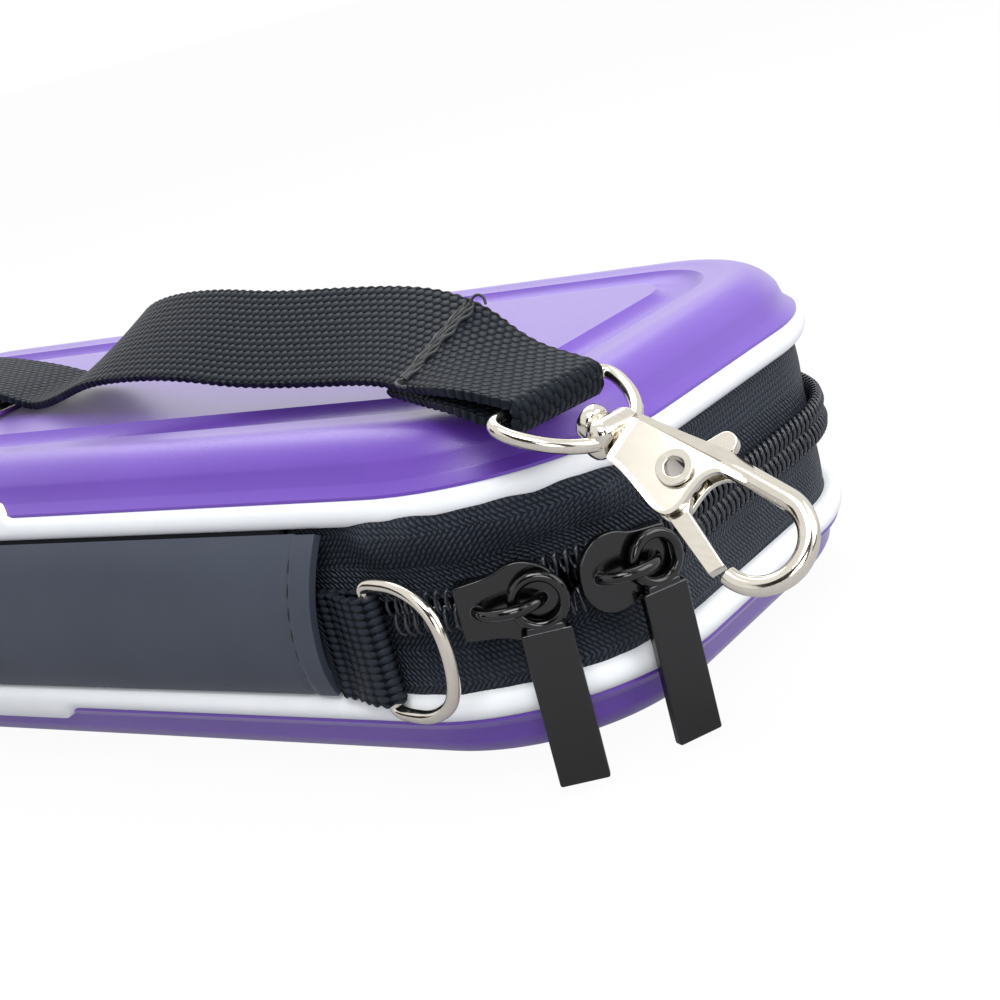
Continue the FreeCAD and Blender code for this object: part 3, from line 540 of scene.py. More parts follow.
# Die cast zinc under gloss black paint, thin and a little greyer on the rubbed edges; the grey on the edges
# is also a painted highlight
def blackPaint():
    look = {"paint": "060607", "wornAndLitEdge": "3C4048", "edgeMm": 0.25, "wornAndLitFrom": 0.99, "wornAndLitTo": 0.86}
    material, tree, shader = newMaterial("blackPaint", {"Roughness": 0.13, "Specular IOR Level": 0.62})
    face = addNode(tree, "ShaderNodeNewGeometry")
    # Edges found by the bevel normal are tinted grey: partly rubbed paint, partly a painted edge highlight
    rounded = addNode(tree, "ShaderNodeBevel", {"Radius": look["edgeMm"] * mm}, samples=6)
    level = addNode(tree, "ShaderNodeVectorMath", operation="DOT_PRODUCT",
                    links={0: face.outputs["Normal"], 1: rounded.outputs["Normal"]})
    wornAndLitEdge = addNode(tree, "ShaderNodeMapRange",
                     {"From Min": look["wornAndLitFrom"], "From Max": look["wornAndLitTo"]},
                     {"Value": level.outputs["Value"]})
    tintBetween(tree, shader, wornAndLitEdge.outputs["Result"], look["paint"], look["wornAndLitEdge"])
    raiseBy(tree, shader, speckle(tree, 900.0), 0.03, 0.12)
    return material


# Nickel plate on zinc and steel wire: bright and slightly warm, with hairline scratches
def nickelPlate():
    material, tree, shader = newMaterial("nickelPlate", {"Metallic": 1.0})
    scratch = speckle(tree, 420.0, 5.0, (1, 6, 1))
    tintBetween(tree, shader, scratch, "E8E3D8", "D2CBBD")
    glossBetween(tree, shader, scratch, 0.09, 0.18)
    return material


# Polyester sewing thread: black, twisted, with a dull shine
def sewingThread():
    material, tree, shader = newMaterial("sewingThread", {"Roughness": 0.55, "Sheen Weight": 0.2})
    place = addNode(tree, "ShaderNodeTexCoord")
    twist = addNode(tree, "ShaderNodeTexWave", {"Scale": 1400.0}, {"Vector": place.outputs["Object"]},
                    bands_direction="DIAGONAL")
    # The twist's crests are tinted lighter and its grooves darker: painted highlight and painted shade
    tintBetween(tree, shader, twist.outputs["Fac"], "0A0B0D", "24262C")
    raiseBy(tree, shader, twist.outputs["Fac"], 0.05, 0.5)
    return material


# Knitted elastic: black lengthwise ribs, painted lighter on their crests and darker between them as shade
def ribbedElastic():
    look = {"ribMm": 0.9, "stitchMm": 0.6, "stitchShare": 0.3, "gapShade": "0B0B0D", "rib": "26272C"}
    material, tree, shader = newMaterial("ribbedElastic", {"Roughness": 0.75, "Sheen Weight": 0.2})
    along, across = clothLengths(tree)
    rib = calc(tree, "SINE", calc(tree, "MULTIPLY", across, math.tau / look["ribMm"]))
    stitch = calc(tree, "SINE", calc(tree, "MULTIPLY", along, math.tau / look["stitchMm"]))
    height = calc(tree, "MULTIPLY_ADD", stitch, look["stitchShare"], rib)
    # Colour follows the rib height: painted shade between the ribs, painted highlight on their crests
    tintBetween(tree, shader, calc(tree, "MULTIPLY_ADD", height, 0.35, 0.5), look["gapShade"], look["rib"])
    raiseBy(tree, shader, height, 0.12, 0.7)
    return material


# Weave colours: a painted shade for the gaps and a painted highlight for the yarn tops
strapWeave = {"grainMm": 1.5, "rowMm": 1.9, "grainReach": 0.54, "rowReach": 0.315, "staggered": True,
              "gapShade": "020203", "yarnTopLit": "151A22", "depth": 0.42}
tabWeave = {"grainMm": 1.9, "rowMm": 1.03, "grainReach": 0.54, "rowReach": 0.54, "staggered": False,
            "gapShade": "020203", "yarnTopLit": "2B2F38", "depth": 0.42}
shellSkin = satinLaminate()
pipingSkin = whitePiping()
tapeSkin = zipTwill()
strapSkin = wovenWebbing("strapWebbing", strapWeave)
tabSkin = wovenWebbing("tabWebbing", tabWeave)
paintSkin = blackPaint()
nickelSkin = nickelPlate()
threadSkin = sewingThread()
elasticSkin = ribbedElastic()

# PU coated cloth: charcoal, smooth, with a tight grain and a broad soft reflection
spineSkin = cloudedSkin("coatedCloth", {"Roughness": 0.45, "Specular IOR Level": 0.32},
                        ("3A404C", "454B58"), (60.0, 3.0), (1900.0, 2.0, 0.05, 0.35))
# Nylon monofilament coil: black, smooth and slightly waxy
coilSkin = cloudedSkin("nylonCoil", {"Roughness": 0.25, "IOR": 1.53}, ("15171C", "30353E"), (700.0,))
# Drawn spring wire: grey and finely mottled
springSkin = cloudedSkin("springWire", {"Metallic": 1.0, "Roughness": 0.32}, ("8C8C90", "A9A9AE"), (1500.0,))
# Brushed tricot lining: dark grey with a soft nap that lightens at grazing angles
liningSkin = cloudedSkin("brushedTricot", {"Roughness": 0.9, "Sheen Weight": 0.6, "Sheen Roughness": 0.6,
                                           "Sheen Tint": hexColor("9AA0AE")},
                         ("1B1C21", "2A2C33"), (70.0, 4.0), (1300.0, 3.0, 0.12, 0.6))
# Polyester net: thin black strands, uneven where the yarn is twisted
netSkin = cloudedSkin("pocketNet", {"Roughness": 0.55}, ("08080A", "1E1F24"), (1600.0,),
                      (1600.0, 2.0, 0.06, 0.5))
print("materials made")

# Moulded shells: profile of (inset from the outline, height from the zip line), mirrored for the lower one
shellForm = {
    "skin": [(0.8, 15.05), (0.8, 15.45)] + arcThrough((0.8, 15.45), (1.39, 15.99), (2.2, 16.8), 6)[1:]
    + [(2.75, 18.8)] + arcThrough((2.75, 18.8), (5.0, 21.18), (10.25, 22.2), 14)[1:] + [(12.75, 22.2)]
    + arcThrough((12.75, 22.2), (16.25, 20.6), (19.75, 22.2), 12)[1:],
    "panel": {"upper": [(21.5, 22.2)], "lower": [(21.8, 24.6), (22.3, 24.95), (22.9, 25.0)]},
    "inside": [(0.8, 15.05), (2.9, 15.05), (2.9, 11.4), (5.9, 11.4), (5.9, 15.8), (9.1, 19.0)],
}
liningForm = {
    "back": [(5.95, 11.4), (5.95, 15.75), (9.15, 18.95)],
    "face": [(5.95, 11.4), (6.2, 11.3), (6.95, 11.6), (6.95, 14.2)]
    + arcThrough((6.95, 14.2), (7.6, 15.8), (8.6, 16.9), 4)[1:]
    + arcThrough((8.6, 16.9), (9.9, 17.75), (11.5, 17.95), 4)[1:],
}
for name, side, body in halves:
    skin = steppedSkin(shellForm["skin"] + shellForm["panel"][name], side)
    shell = joinPieces([skin, steppedSkin(shellForm["inside"], side)], name + "Shell")
    mergeAndTurnOut(shell)
    finishPiece(shell, body, "shell", shellSkin, [name + "_shell"])
    lining = joinPieces([steppedSkin(liningForm[part], side) for part in ("back", "face")], name + "Lining")
    mergeAndTurnOut(lining)
    finishPiece(lining, body, "lining", liningSkin, [name + "_lining"])
print("shells and linings made")

# White piping round each shell's foot, with the taller tab at the middle of the spine
trimForm = {
    "bead": arcThrough((0.8, 15.0), (0.0, 13.7), (1.4, 11.4), 14), "back": 2.1, "top": 15.0, "low": 11.4,
    "tabHalf": 9.4, "tabTop": 17.0, "tabEase": (-1.9, 2.3), "tabLean": 0.35, "tabCuts": 10,
}


# Draws the trim's outer edge out into its tab, over a short slope at each end
def drawOutTab(obj, side):
    slopeStart, slopeEnd = (trimForm["tabHalf"] + reach for reach in trimForm["tabEase"])
    makeActive(obj)
    bpy.ops.object.mode_set(mode="EDIT")
    for step in range(trimForm["tabCuts"] + 1):
        cut = slopeStart + (slopeEnd - slopeStart) * step / trimForm["tabCuts"]
        for x in (-cut, cut):
            bpy.ops.mesh.select_all(action="SELECT")
            bpy.ops.mesh.bisect(plane_co=(x * mm, 0, 0), plane_no=(1, 0, 0))
    closeMesh()
    growFrom = trimForm["bead"][len(trimForm["bead"]) // 2][1]
    for vertex in obj.data.vertices:
        level = side * (vertex.co.z / mm - midLevel)
        if vertex.co.y < 0 and level > growFrom:
            share = 1 - smoothStep(slopeStart, slopeEnd, abs(vertex.co.x) / mm)
            grow = share * (level - growFrom) / (trimForm["top"] - growFrom)
            vertex.co.z += side * grow * (trimForm["tabTop"] - trimForm["top"]) * mm
            vertex.co.y += grow * trimForm["tabLean"] * mm


for name, side, body in halves:
    bead = trimForm["bead"]
    widest = min(range(len(bead)), key=lambda index: bead[index][0])
    over = bead[widest::-1] + [(trimForm["back"], trimForm["top"]), (trimForm["back"], trimForm["low"])]
    under = bead[widest:] + [(trimForm["back"], trimForm["low"])]
    trim = joinPieces([steppedSkin(line, side, keepMiddle=False) for line in (over, under)], name + "Trim")
    mergeAndTurnOut(trim)
    drawOutTab(trim, side)
    finishPiece(trim, body, "trim", pipingSkin, [name + "_trim"], 50)
print("trims made")

# Zip tapes: twill laid round the case, lifted where the zip is open and puckered on the near corner
zipForm = {
    "start": -14.5, "low": 1.0, "high": 14.6, "inset": 2.2, "thickness": 0.6, "steps": (520, 20),
    "openRun": (15.4, 20.4, 26.8, 31.8), "spread": 1.5, "spreadShare": 0.55,
    "cornerRun": (-8.0, 2.0, 26.0, 46.0), "bellyRun": (0.18, 0.66, 0.78, 0.98), "bulge": 2.6,
    "lowerShare": 0.35, "pucker": 0.3, "puckerWaves": ((1.0, 11.0, 0.8), (0.6, 6.3, -1.0)),
    "slack": 0.12, "slackDrift": 0.25, "slackShare": 0.82,
}
tapeLength = zipRun - 2 * zipForm["start"]
tapeWidth = zipForm["high"] - zipForm["low"]


def zipLift(distance):
    return zipForm["spread"] * plateau(zipForm["openRun"], distance)


def tapeShape(along, across, looseness):
    distance = zipForm["start"] + along
    share = across / tapeWidth
    lift = zipLift(distance) * (1 - smoothStep(0.0, zipForm["spreadShare"], share))
    belly = plateau(zipForm["bellyRun"], share) * plateau(zipForm["cornerRun"], distance) * looseness
    wave = sum(size * math.sin(math.tau * (distance / length + share * lean))
               for size, length, lean in zipForm["puckerWaves"])
    drift = noise.noise(Vector((distance / 9.0, across / 5.0, 3.0)))
    slack = math.sin(math.pi * min(share / zipForm["slackShare"], 1.0))
    slack *= zipForm["slackDrift"] * drift + zipForm["slack"]
    out = belly * (zipForm["bulge"] + zipForm["pucker"] * wave) + slack
    return Vector((distance, zipForm["inset"] - out, zipForm["low"] + across + lift))


for name, side, body in halves:
    looseness = 1.0 if side > 0 else zipForm["lowerShare"]
    tape = clothGrid(name + "ZipTape", tapeLength, tapeWidth, *zipForm["steps"],
                     lambda along, across: tapeShape(along, across, looseness))
    wrapOnCase(tape)
    if side < 0:
        for vertex in tape.data.vertices:
            vertex.co.z = 2 * midLevel * mm - vertex.co.z
    mergeAndTurnOut(tape)
    applyModifier(tape, "SOLIDIFY", thickness=zipForm["thickness"] * mm, offset=-1.0)
    finishPiece(tape, body, "zip_tape", tapeSkin, [name + "_zip_tape"], 60)
print("zip tapes made")

# Zip coil: one turn of nylon wire, copied along the tape's edge and laid round the case
coilForm = {
    "pitch": 1.4, "wire": 0.25, "shift": {"upper": 0.25, "lower": 0.75},
    "turn": [(0.0, 0.7, -0.35), (0.0, 0.1, 0.3), (0.05, -0.2, 1.3), (0.15, 0.0, 2.3), (0.4, 0.45, 2.8),
             (0.7, 1.0, 2.6), (0.9, 1.45, 1.6), (1.05, 1.5, 0.4), (1.4, 0.7, -0.35)],
}
for name, side, body in halves:
    coil = wireAlong(name + "ZipCoil", coilForm["turn"], coilForm["wire"], sides=1)
    applyModifier(coil, "ARRAY", count=int(zipRun / coilForm["pitch"]), use_relative_offset=False,
                  use_constant_offset=True, constant_offset_displace=(coilForm["pitch"], 0, 0))
    for vertex in coil.data.vertices:
        vertex.co.x += coilForm["pitch"] * coilForm["shift"][name]
        vertex.co.z = (vertex.co.z + zipLift(vertex.co.x)) * side
    wrapOnCase(coil)
    mergeAndTurnOut(coil)
    finishPiece(coil, body, "zip_coil", coilSkin, [name + "_zip_chain"], 60)
print("zip coils made")

# Spine panel: coated cloth bowed out between the trims, with a turned hem at each end
spineForm = {
    "halfTop": 68.5, "halfLow": 64.5, "half": 11.2, "edge": 44.8, "bulge": 3.2, "thickness": 1.2,
    "hem": 4.0, "hemRise": 0.3, "hemSlope": (-0.5, 0.4), "seam": 0.25, "seamWidth": 0.5, "slack": 0.35,
}
spineLength = 2 * spineForm["halfTop"]


def spineBow(height):
    reach = spineForm["half"]
    bulge = spineForm["bulge"]
    radius = (reach * reach + bulge * bulge) / (2 * bulge)
    return math.sqrt(max(radius * radius - height * height, 0.0)) - (radius - bulge)


def spineHalf(height):
    share = (height + spineForm["half"]) / (2 * spineForm["half"])
    return spineForm["halfLow"] + (spineForm["halfTop"] - spineForm["halfLow"]) * share


def spineShape(along, across):
    height = across - spineForm["half"]
    x = (along / spineLength * 2 - 1) * spineHalf(height)
    fromHem = spineHalf(height) - abs(x) - spineForm["hem"]
    hem = spineForm["hemRise"] * (1 - smoothStep(*spineForm["hemSlope"], fromHem))
    seam = spineForm["seam"] * math.exp(-(fromHem / spineForm["seamWidth"]) ** 2)
    slack = spineForm["slack"] * noise.noise(Vector((x / 26.0, height / 9.0, 1.0)))
    out = spineForm["edge"] + spineBow(height) + hem - seam + slack * (1 - (height / spineForm["half"]) ** 2)
    return Vector((x, -out, midLevel + height)) * mm


panel = clothGrid("spinePanel", spineLength, 2 * spineForm["half"], 300, 24, spineShape)
mergeAndTurnOut(panel)
applyModifier(panel, "SOLIDIFY", thickness=spineForm["thickness"] * mm, offset=-1.0)
finishPiece(panel, "spine", "spine_cover", spineSkin, ["spine_panel"], 50)
print("spine panel made")

# Stitches through the hem at each end of the spine panel, each as (share of its length, depth in the cloth)
stitchForm = {"inset": 4.0, "length": 2.1, "pitch": 3.0, "count": 6, "thread": 0.13,
              "line": ((-0.5, 0.35), (-0.35, 0.12), (0.0, 0.04), (0.35, 0.12), (0.5, 0.35))}
stitches = []
for side in (-1, 1):
    for index in range(stitchForm["count"]):
        height = (index - (stitchForm["count"] - 1) / 2) * stitchForm["pitch"]
        line = []
        for step, sink in stitchForm["line"]:
            level = height + step * stitchForm["length"]
            x = side * (spineHalf(level) - stitchForm["inset"])
            line.append((x, -spineForm["edge"] - spineBow(level) + sink, midLevel + level))
        stitch = wireAlong("stitch", line, stitchForm["thread"], sides=2)
        stitch.data.transform(Matrix.Scale(mm, 4))
        stitches.append(stitch)
finishPiece(joinPieces(stitches, "spineStitches"), "spine", "thread", threadSkin, ["spine_stitches"], 60)

# Lining behind the spine panel, slightly slack
spineLiningForm = {"half": 60.0, "rise": 11.1, "near": 41.65, "thickness": 0.9, "slack": 0.25,
                   "leastSlack": -0.05}


def spineLiningShape(along, across):
    x = along - spineLiningForm["half"]
    height = across - spineLiningForm["rise"]
    slack = spineLiningForm["slack"] * noise.noise(Vector((x / 18.0, height / 7.0, 5.0)))
    y = max(slack, spineLiningForm["leastSlack"]) - spineLiningForm["near"]
    return Vector((x, y, midLevel + height)) * mm


spineLining = clothGrid("spineLining", 2 * spineLiningForm["half"], 2 * spineLiningForm["rise"], 120, 18,
                        spineLiningShape)
mergeAndTurnOut(spineLining)
applyModifier(spineLining, "SOLIDIFY", thickness=spineLiningForm["thickness"] * mm, offset=1.0)
finishPiece(spineLining, "spine", "lining", liningSkin, ["spine_lining"], 50)
print("spine stitches and lining made")

# Ring tabs: webbing folded round the ring's bar, with its layers held behind the spine panel
tabForm = {
    "width": 14.4, "level": 21.0, "thickness": 0.95, "ease": 0.25, "loopLength": 1.8, "loopRise": 0.2,
    "loopFrom": 0.92, "notch": 3.6, "notchRun": (64.6, 66.4),
    "route": [(62.2, -44.2), (68.0, -44.35), (73.0, -44.62)]
    + arcThrough((74.5, -44.7), (75.85, -46.05), (74.5, -47.4), 10)
    + [(72.6, -47.1), (70.4, -46.3), (68.6, -45.45), (66.8, -45.25), (62.2, -45.2)],
}
ringForm = {
    "bar": (74.5, -46.05, 21.0), "swing": -10.0, "wire": 0.9,
    "bow": [(0.0, 0.0), (0.0, 7.2), (0.2, 8.5), (2.6, 8.9), (7.2, 8.7), (11.8, 6.0), (13.1, 0.0),
            (11.8, -6.0), (7.2, -8.7), (2.6, -8.9), (0.2, -8.5), (0.0, -7.2), (0.0, -0.2)],
}


# How far the tab's lower edge is cut back where it goes behind the spine panel
def tabNotch(x):
    return tabForm["notch"] * (1 - smoothStep(*tabForm["notchRun"], abs(x)))


def tabBand(side):
    middles = [Vector((side * x, y, tabForm["level"] + tabNotch(x) / 2)) for x, y in tabForm["route"]]
    edges = [middle - Vector((0, 0, 1)) for middle in middles]
    return WebbingBand(middles, edges, tabForm["width"])


def tabShape(band, along, across):
    spot = band.place(along, across)
    share = across / tabForm["width"]
    low = tabForm["level"] - tabForm["width"] / 2 + tabNotch(spot.x)
    high = tabForm["level"] + tabForm["width"] / 2
    loops = tabForm["loopRise"] * math.sin(math.tau * along / tabForm["loopLength"])
    edge = smoothStep(tabForm["loopFrom"], 1.0, abs(2 * share - 1)) * loops * (1 if share > 0.5 else -1)
    return Vector((spot.x, spot.y, high + (low - high) * share - edge)) * mm


for name, side in (("right", 1), ("left", -1)):
    band = tabBand(side)
    tab = clothGrid(name + "RingTab", band.length(), band.width, 110, 34,
                    lambda along, across: tabShape(band, along, across))
    mergeAndTurnOut(tab)
    applyModifier(tab, "SOLIDIFY", thickness=tabForm["thickness"] * mm, offset=0.0)
    easeEdges(tab, tabForm["ease"] * mm, 2, 60)
    finishPiece(tab, "base", "webbing", tabSkin, [name + "_ring_tab"], 60)
    bow = routeLine([(x, 0.0, z) for x, z in ringForm["bow"]], 10)
    ring = wireAlong(name + "Ring", bow, ringForm["wire"], closed=True, sides=7)
    swing = Matrix.Rotation(math.radians(ringForm["swing"]), 4, "Z")
    ring.data.transform(Matrix.Scale(mm, 4) @ Matrix.Translation(Vector(ringForm["bar"])) @ swing)
    if side < 0:
        ring.data.transform(Matrix.Scale(-1, 4, (1, 0, 0)))
    mergeAndTurnOut(ring)
    finishPiece(ring, name + "_ring", "nickel", nickelSkin, [name + "_d_ring"], 60)
print("ring tabs and rings made")

# Die cast sliders: a leaf shaped face with its bail, an inner plate, and the post and flanges between them
sliderForm = {
    "leaf": [(-6.3, 0.0), (-6.3, 3.1), (-6.2, 3.5), (-4.2, 3.7), (-1.4, 4.0), (0.6, 5.0), (3.2, 5.0),
             (5.4, 3.5), (6.5, 1.6), (6.5, 0.0)],
    "face": (-1.7, -0.55), "inner": (4.05, 5.2), "innerShare": 0.82, "ease": 0.35, "blockEase": 0.15,
    "post": ((1.3, -1.1, -1.2), (4.2, 4.6, 1.2)), "flange": ((-6.2, -1.1, 2.8), (-1.9, 1.5, 3.4)),
    "bail": [(-4.1, -1.2), (0.0, -4.7), (4.1, -1.2)], "bailWire": 0.78,
}
pullerForm = {"shift": 3.6, "middle": -2.65, "thickness": 1.5, "ring": 3.12, "wire": 0.72, "width": 6.3,
              "shoulder": -3.7, "tip": -24.0, "ease": 0.32, "neck": 4.6, "neckShare": 0.9,
              "neckSpan": (-4.6, -3.02), "neckEase": 0.3}
swapUp = Matrix(((1, 0, 0, 0), (0, 0, 1, 0), (0, 1, 0, 0), (0, 0, 0, 1)))  # z across, y in


# Place of a piece that stands on the near right corner, at an angle round it
def onCorner(angle):
    turn = math.radians(angle)
    corner = caseOutline["corner"]
    spot = Vector((arcX + corner * math.sin(turn), -arcY - corner * math.cos(turn), midLevel))
    return Matrix.Scale(mm, 4) @ Matrix.Translation(spot) @ Matrix.Rotation(turn, 4, "Z")


def sliderBody(name, front):
    half = routeLine([(front * x, z, 0) for x, z in sliderForm["leaf"]], 5)
    leaf = [(p.x, p.y) for p in half] + [(p.x, -p.y) for p in reversed(half[1:-1])]
    inner = [(x * sliderForm["innerShare"], z) for x, z in leaf]
    pieces = [cutPlate("sliderFace", leaf, *sliderForm["face"], sliderForm["ease"]),
              cutPlate("sliderInner", inner, *sliderForm["inner"], sliderForm["ease"])]
    for piece in pieces:
        piece.data.transform(swapUp)
    low, high = sliderForm["flange"]
    otherFlange = ((*low[:2], -high[2]), (*high[:2], -low[2]))
    for low, high in (sliderForm["post"], sliderForm["flange"], otherFlange):
        ends = sorted((front * low[0], front * high[0]))
        pieces.append(easedBlock("sliderBlock", (ends[0], *low[1:]), (ends[1], *high[1:]),
                                 sliderForm["blockEase"]))
    arch = [(x, y, 0.0) for x, y in arcThrough(*sliderForm["bail"], 16)]
    pieces.append(wireAlong("sliderBail", arch, sliderForm["bailWire"], sides=5))
    return joinPieces(pieces, name)


# Stamped pullers: a round eye on a flat tab
def pullerBody(name):
    shift, middle = pullerForm["shift"], pullerForm["middle"]
    clearSelection()
    bpy.ops.mesh.primitive_torus_add(major_radius=pullerForm["ring"], minor_radius=pullerForm["wire"],
                                     major_segments=48, minor_segments=14, location=(shift, middle, 0),
                                     rotation=(math.pi / 2, 0, 0))
    eye = bpy.context.object
    bpy.ops.object.transform_apply(location=True, rotation=True, scale=True)

    def plate(part, width, thickness, low, high, ease):
        return easedBlock(part, (shift - width / 2, middle - thickness / 2, low),
                          (shift + width / 2, middle + thickness / 2, high), ease)

    thick = pullerForm["thickness"]
    tab = plate("pullerTab", pullerForm["width"], thick, pullerForm["tip"], pullerForm["shoulder"],
                pullerForm["ease"])
    neck = plate("pullerNeck", pullerForm["neck"], thick * pullerForm["neckShare"], *pullerForm["neckSpan"],
                 pullerForm["neckEase"])
    return joinPieces([tab, neck, eye], name)


for name, angle, front in (("first", 33.0, 1), ("second", 62.0, -1)):
    slider = sliderBody(name + "Slider", front)
    pull = pullerBody(name + "Puller")
    for piece, node in ((slider, name + "_slider"), (pull, name + "_puller")):
        piece.data.transform(onCorner(angle))
        mergeAndTurnOut(piece)
        finishPiece(piece, node, "black_metal", paintSkin, [node], 40, True)
print("sliders and pullers made")

# Swivel clasps: an eye with its lug, and a cast body whose two plates run into the hook
claspForm = {
    "front": {"bar": (102.2, -36.8, 49.0), "heading": -10.0, "swivel": 45.0},
    "rear": {"bar": (-104.0, -8.0, 48.2), "heading": 180.0, "swivel": 0.0},
    "tilt": 28.0,
    "eye": [(10.4, 2.7), (9.4, 5.2), (6.2, 8.4), (1.8, 10.2), (0.0, 9.3), (0.0, 6.0), (0.0, -6.0),
            (0.0, -9.3), (1.8, -10.2), (6.2, -8.4), (9.4, -5.2), (10.4, -2.7)],
    "eyeWire": 0.88, "lug": ((8.2, -3.6, -2.35), (11.6, 3.6, 2.35)), "lugEase": 1.5, "bore": 1.66,
    "post": (7.5, 12.7, 1.6), "head": (6.0, 7.9, 2.1), "headEase": 0.6,
    "plate": [(11.9, 0.1), (11.9, 2.7), (12.2, 3.3), (17.0, 3.7), (22.0, 4.3), (25.4, 4.65), (27.6, 4.5),
              (27.8, 2.5), (26.2, 2.3), (24.4, 2.1), (23.2, 0.8), (22.9, -1.4), (23.0, -3.2), (22.2, -5.0),
              (20.4, -5.2), (18.4, -4.5), (14.6, -3.3), (12.2, -3.0), (11.9, -2.5), (11.9, 0.1)],
    "plates": ((1.05, 1.95), (-1.95, -1.05)), "plateEase": 0.32, "crown": (0.7, 0.2),
    "taper": 0.42, "taperRun": (24.2, 27.6), "wall": ((11.95, -2.8, -1.6), (12.9, 3.1, 1.6)), "wallEase": 0.2,
    "hookRoot": (23.6, 3.4), "hookMiddle": (32.0, -1.8), "hookRadius": 5.2, "hookTurn": 190.0,
    "hookSteps": 30, "hookWire": 1.15, "hookSwell": (1.12, 0.16),
    "rivetX": 19.8, "rivetHole": 1.63, "ease": {"gate": 0.5, "rivet": 0.16, "spring": 0.1},
}


def claspPlace(end, swivel):
    heading = Matrix.Rotation(math.radians(claspForm[end]["heading"]), 4, "Z")
    tilt = Matrix.Rotation(math.radians(claspForm["tilt"]), 4, "Y")
    turn = Matrix.Rotation(math.radians(swivel), 4, "X")
    return Matrix.Scale(mm, 4) @ Matrix.Translation(Vector(claspForm[end]["bar"])) @ heading @ tilt @ turn


def claspEye(name):
    low, high = claspForm["lug"]
    lug = easedBlock("claspLug", low, high, claspForm["lugEase"], 6)
    cutAway(lug, roundBar("lugBore", low[0] - 1, high[0] + 1, claspForm["bore"]))
    line = routeLine([(x, y, 0.0) for x, y in claspForm["eye"]], 10)
    bow = wireAlong("eyeBow", line, claspForm["eyeWire"], sides=5)
    return joinPieces([lug, bow], name)


def claspHook(name):
    outline = [(p.x, p.y) for p in routeLine([(x, y, 0.0) for x, y in claspForm["plate"]], 6)][:-1]
    pieces = []
    for low, high in claspForm["plates"]:
        crown = claspForm["crown"] if low > 0 else None
        plate = cutPlate("claspPlate", outline, low, high, claspForm["plateEase"], 4, crown)
        cutAway(plate, roundBar("rivetHole", low - 1, high + 1, claspForm["rivetHole"], along="Z",
                                place=(claspForm["rivetX"], 0)))
        for vertex in plate.data.vertices:
            vertex.co.z *= 1 - claspForm["taper"] * smoothStep(*claspForm["taperRun"], vertex.co.x)
        pieces.append(plate)
    pieces.append(easedBlock("claspWall", *claspForm["wall"], claspForm["wallEase"]))
    pieces.append(roundBar("swivelPost", *claspForm["post"]))
    pieces.append(roundBar("swivelHead", *claspForm["head"], claspForm["headEase"]))
    middle = Vector((*claspForm["hookMiddle"], 0))
    root = Vector((*claspForm["hookRoot"], 0))
    line = [root, root.lerp(Vector((middle.x, root.y, 0)), 0.5)]
    for step in range(claspForm["hookSteps"] + 1):
        turn = math.radians(90 - claspForm["hookTurn"] * step / claspForm["hookSteps"])
        line.append(middle + Vector((math.cos(turn), math.sin(turn), 0)) * claspForm["hookRadius"])
    most, loss = claspForm["hookSwell"]
    swells = [most - loss * index / len(line) for index in range(len(line))]
    pieces.append(wireAlong("hookBow", line, claspForm["hookWire"], swells=swells))
    return joinPieces(pieces, name)


for end in ("front", "rear"):
    for part, piece, swivel in (("eye", claspEye(end + "ClaspEye"), 0.0),
                                ("hook", claspHook(end + "ClaspHook"), claspForm[end]["swivel"])):
        piece.data.transform(claspPlace(end, swivel))
        mergeAndTurnOut(piece)
        finishPiece(piece, end + "_" + part, "nickel", nickelSkin, [end + "_clasp_" + part], 40, True)
    for part, ease in claspForm["ease"].items():
        node = end + "_clasp_" + part
        piece = easedCopy(node, end + "Clasp" + part.capitalize(), ease)
        body = end + ("_gate" if part == "gate" else "_hook")
        slot, skin = ("spring_steel", springSkin) if part == "spring" else ("nickel", nickelSkin)
        finishPiece(piece, body, slot, skin, [node], 40, True)
print("clasps made")

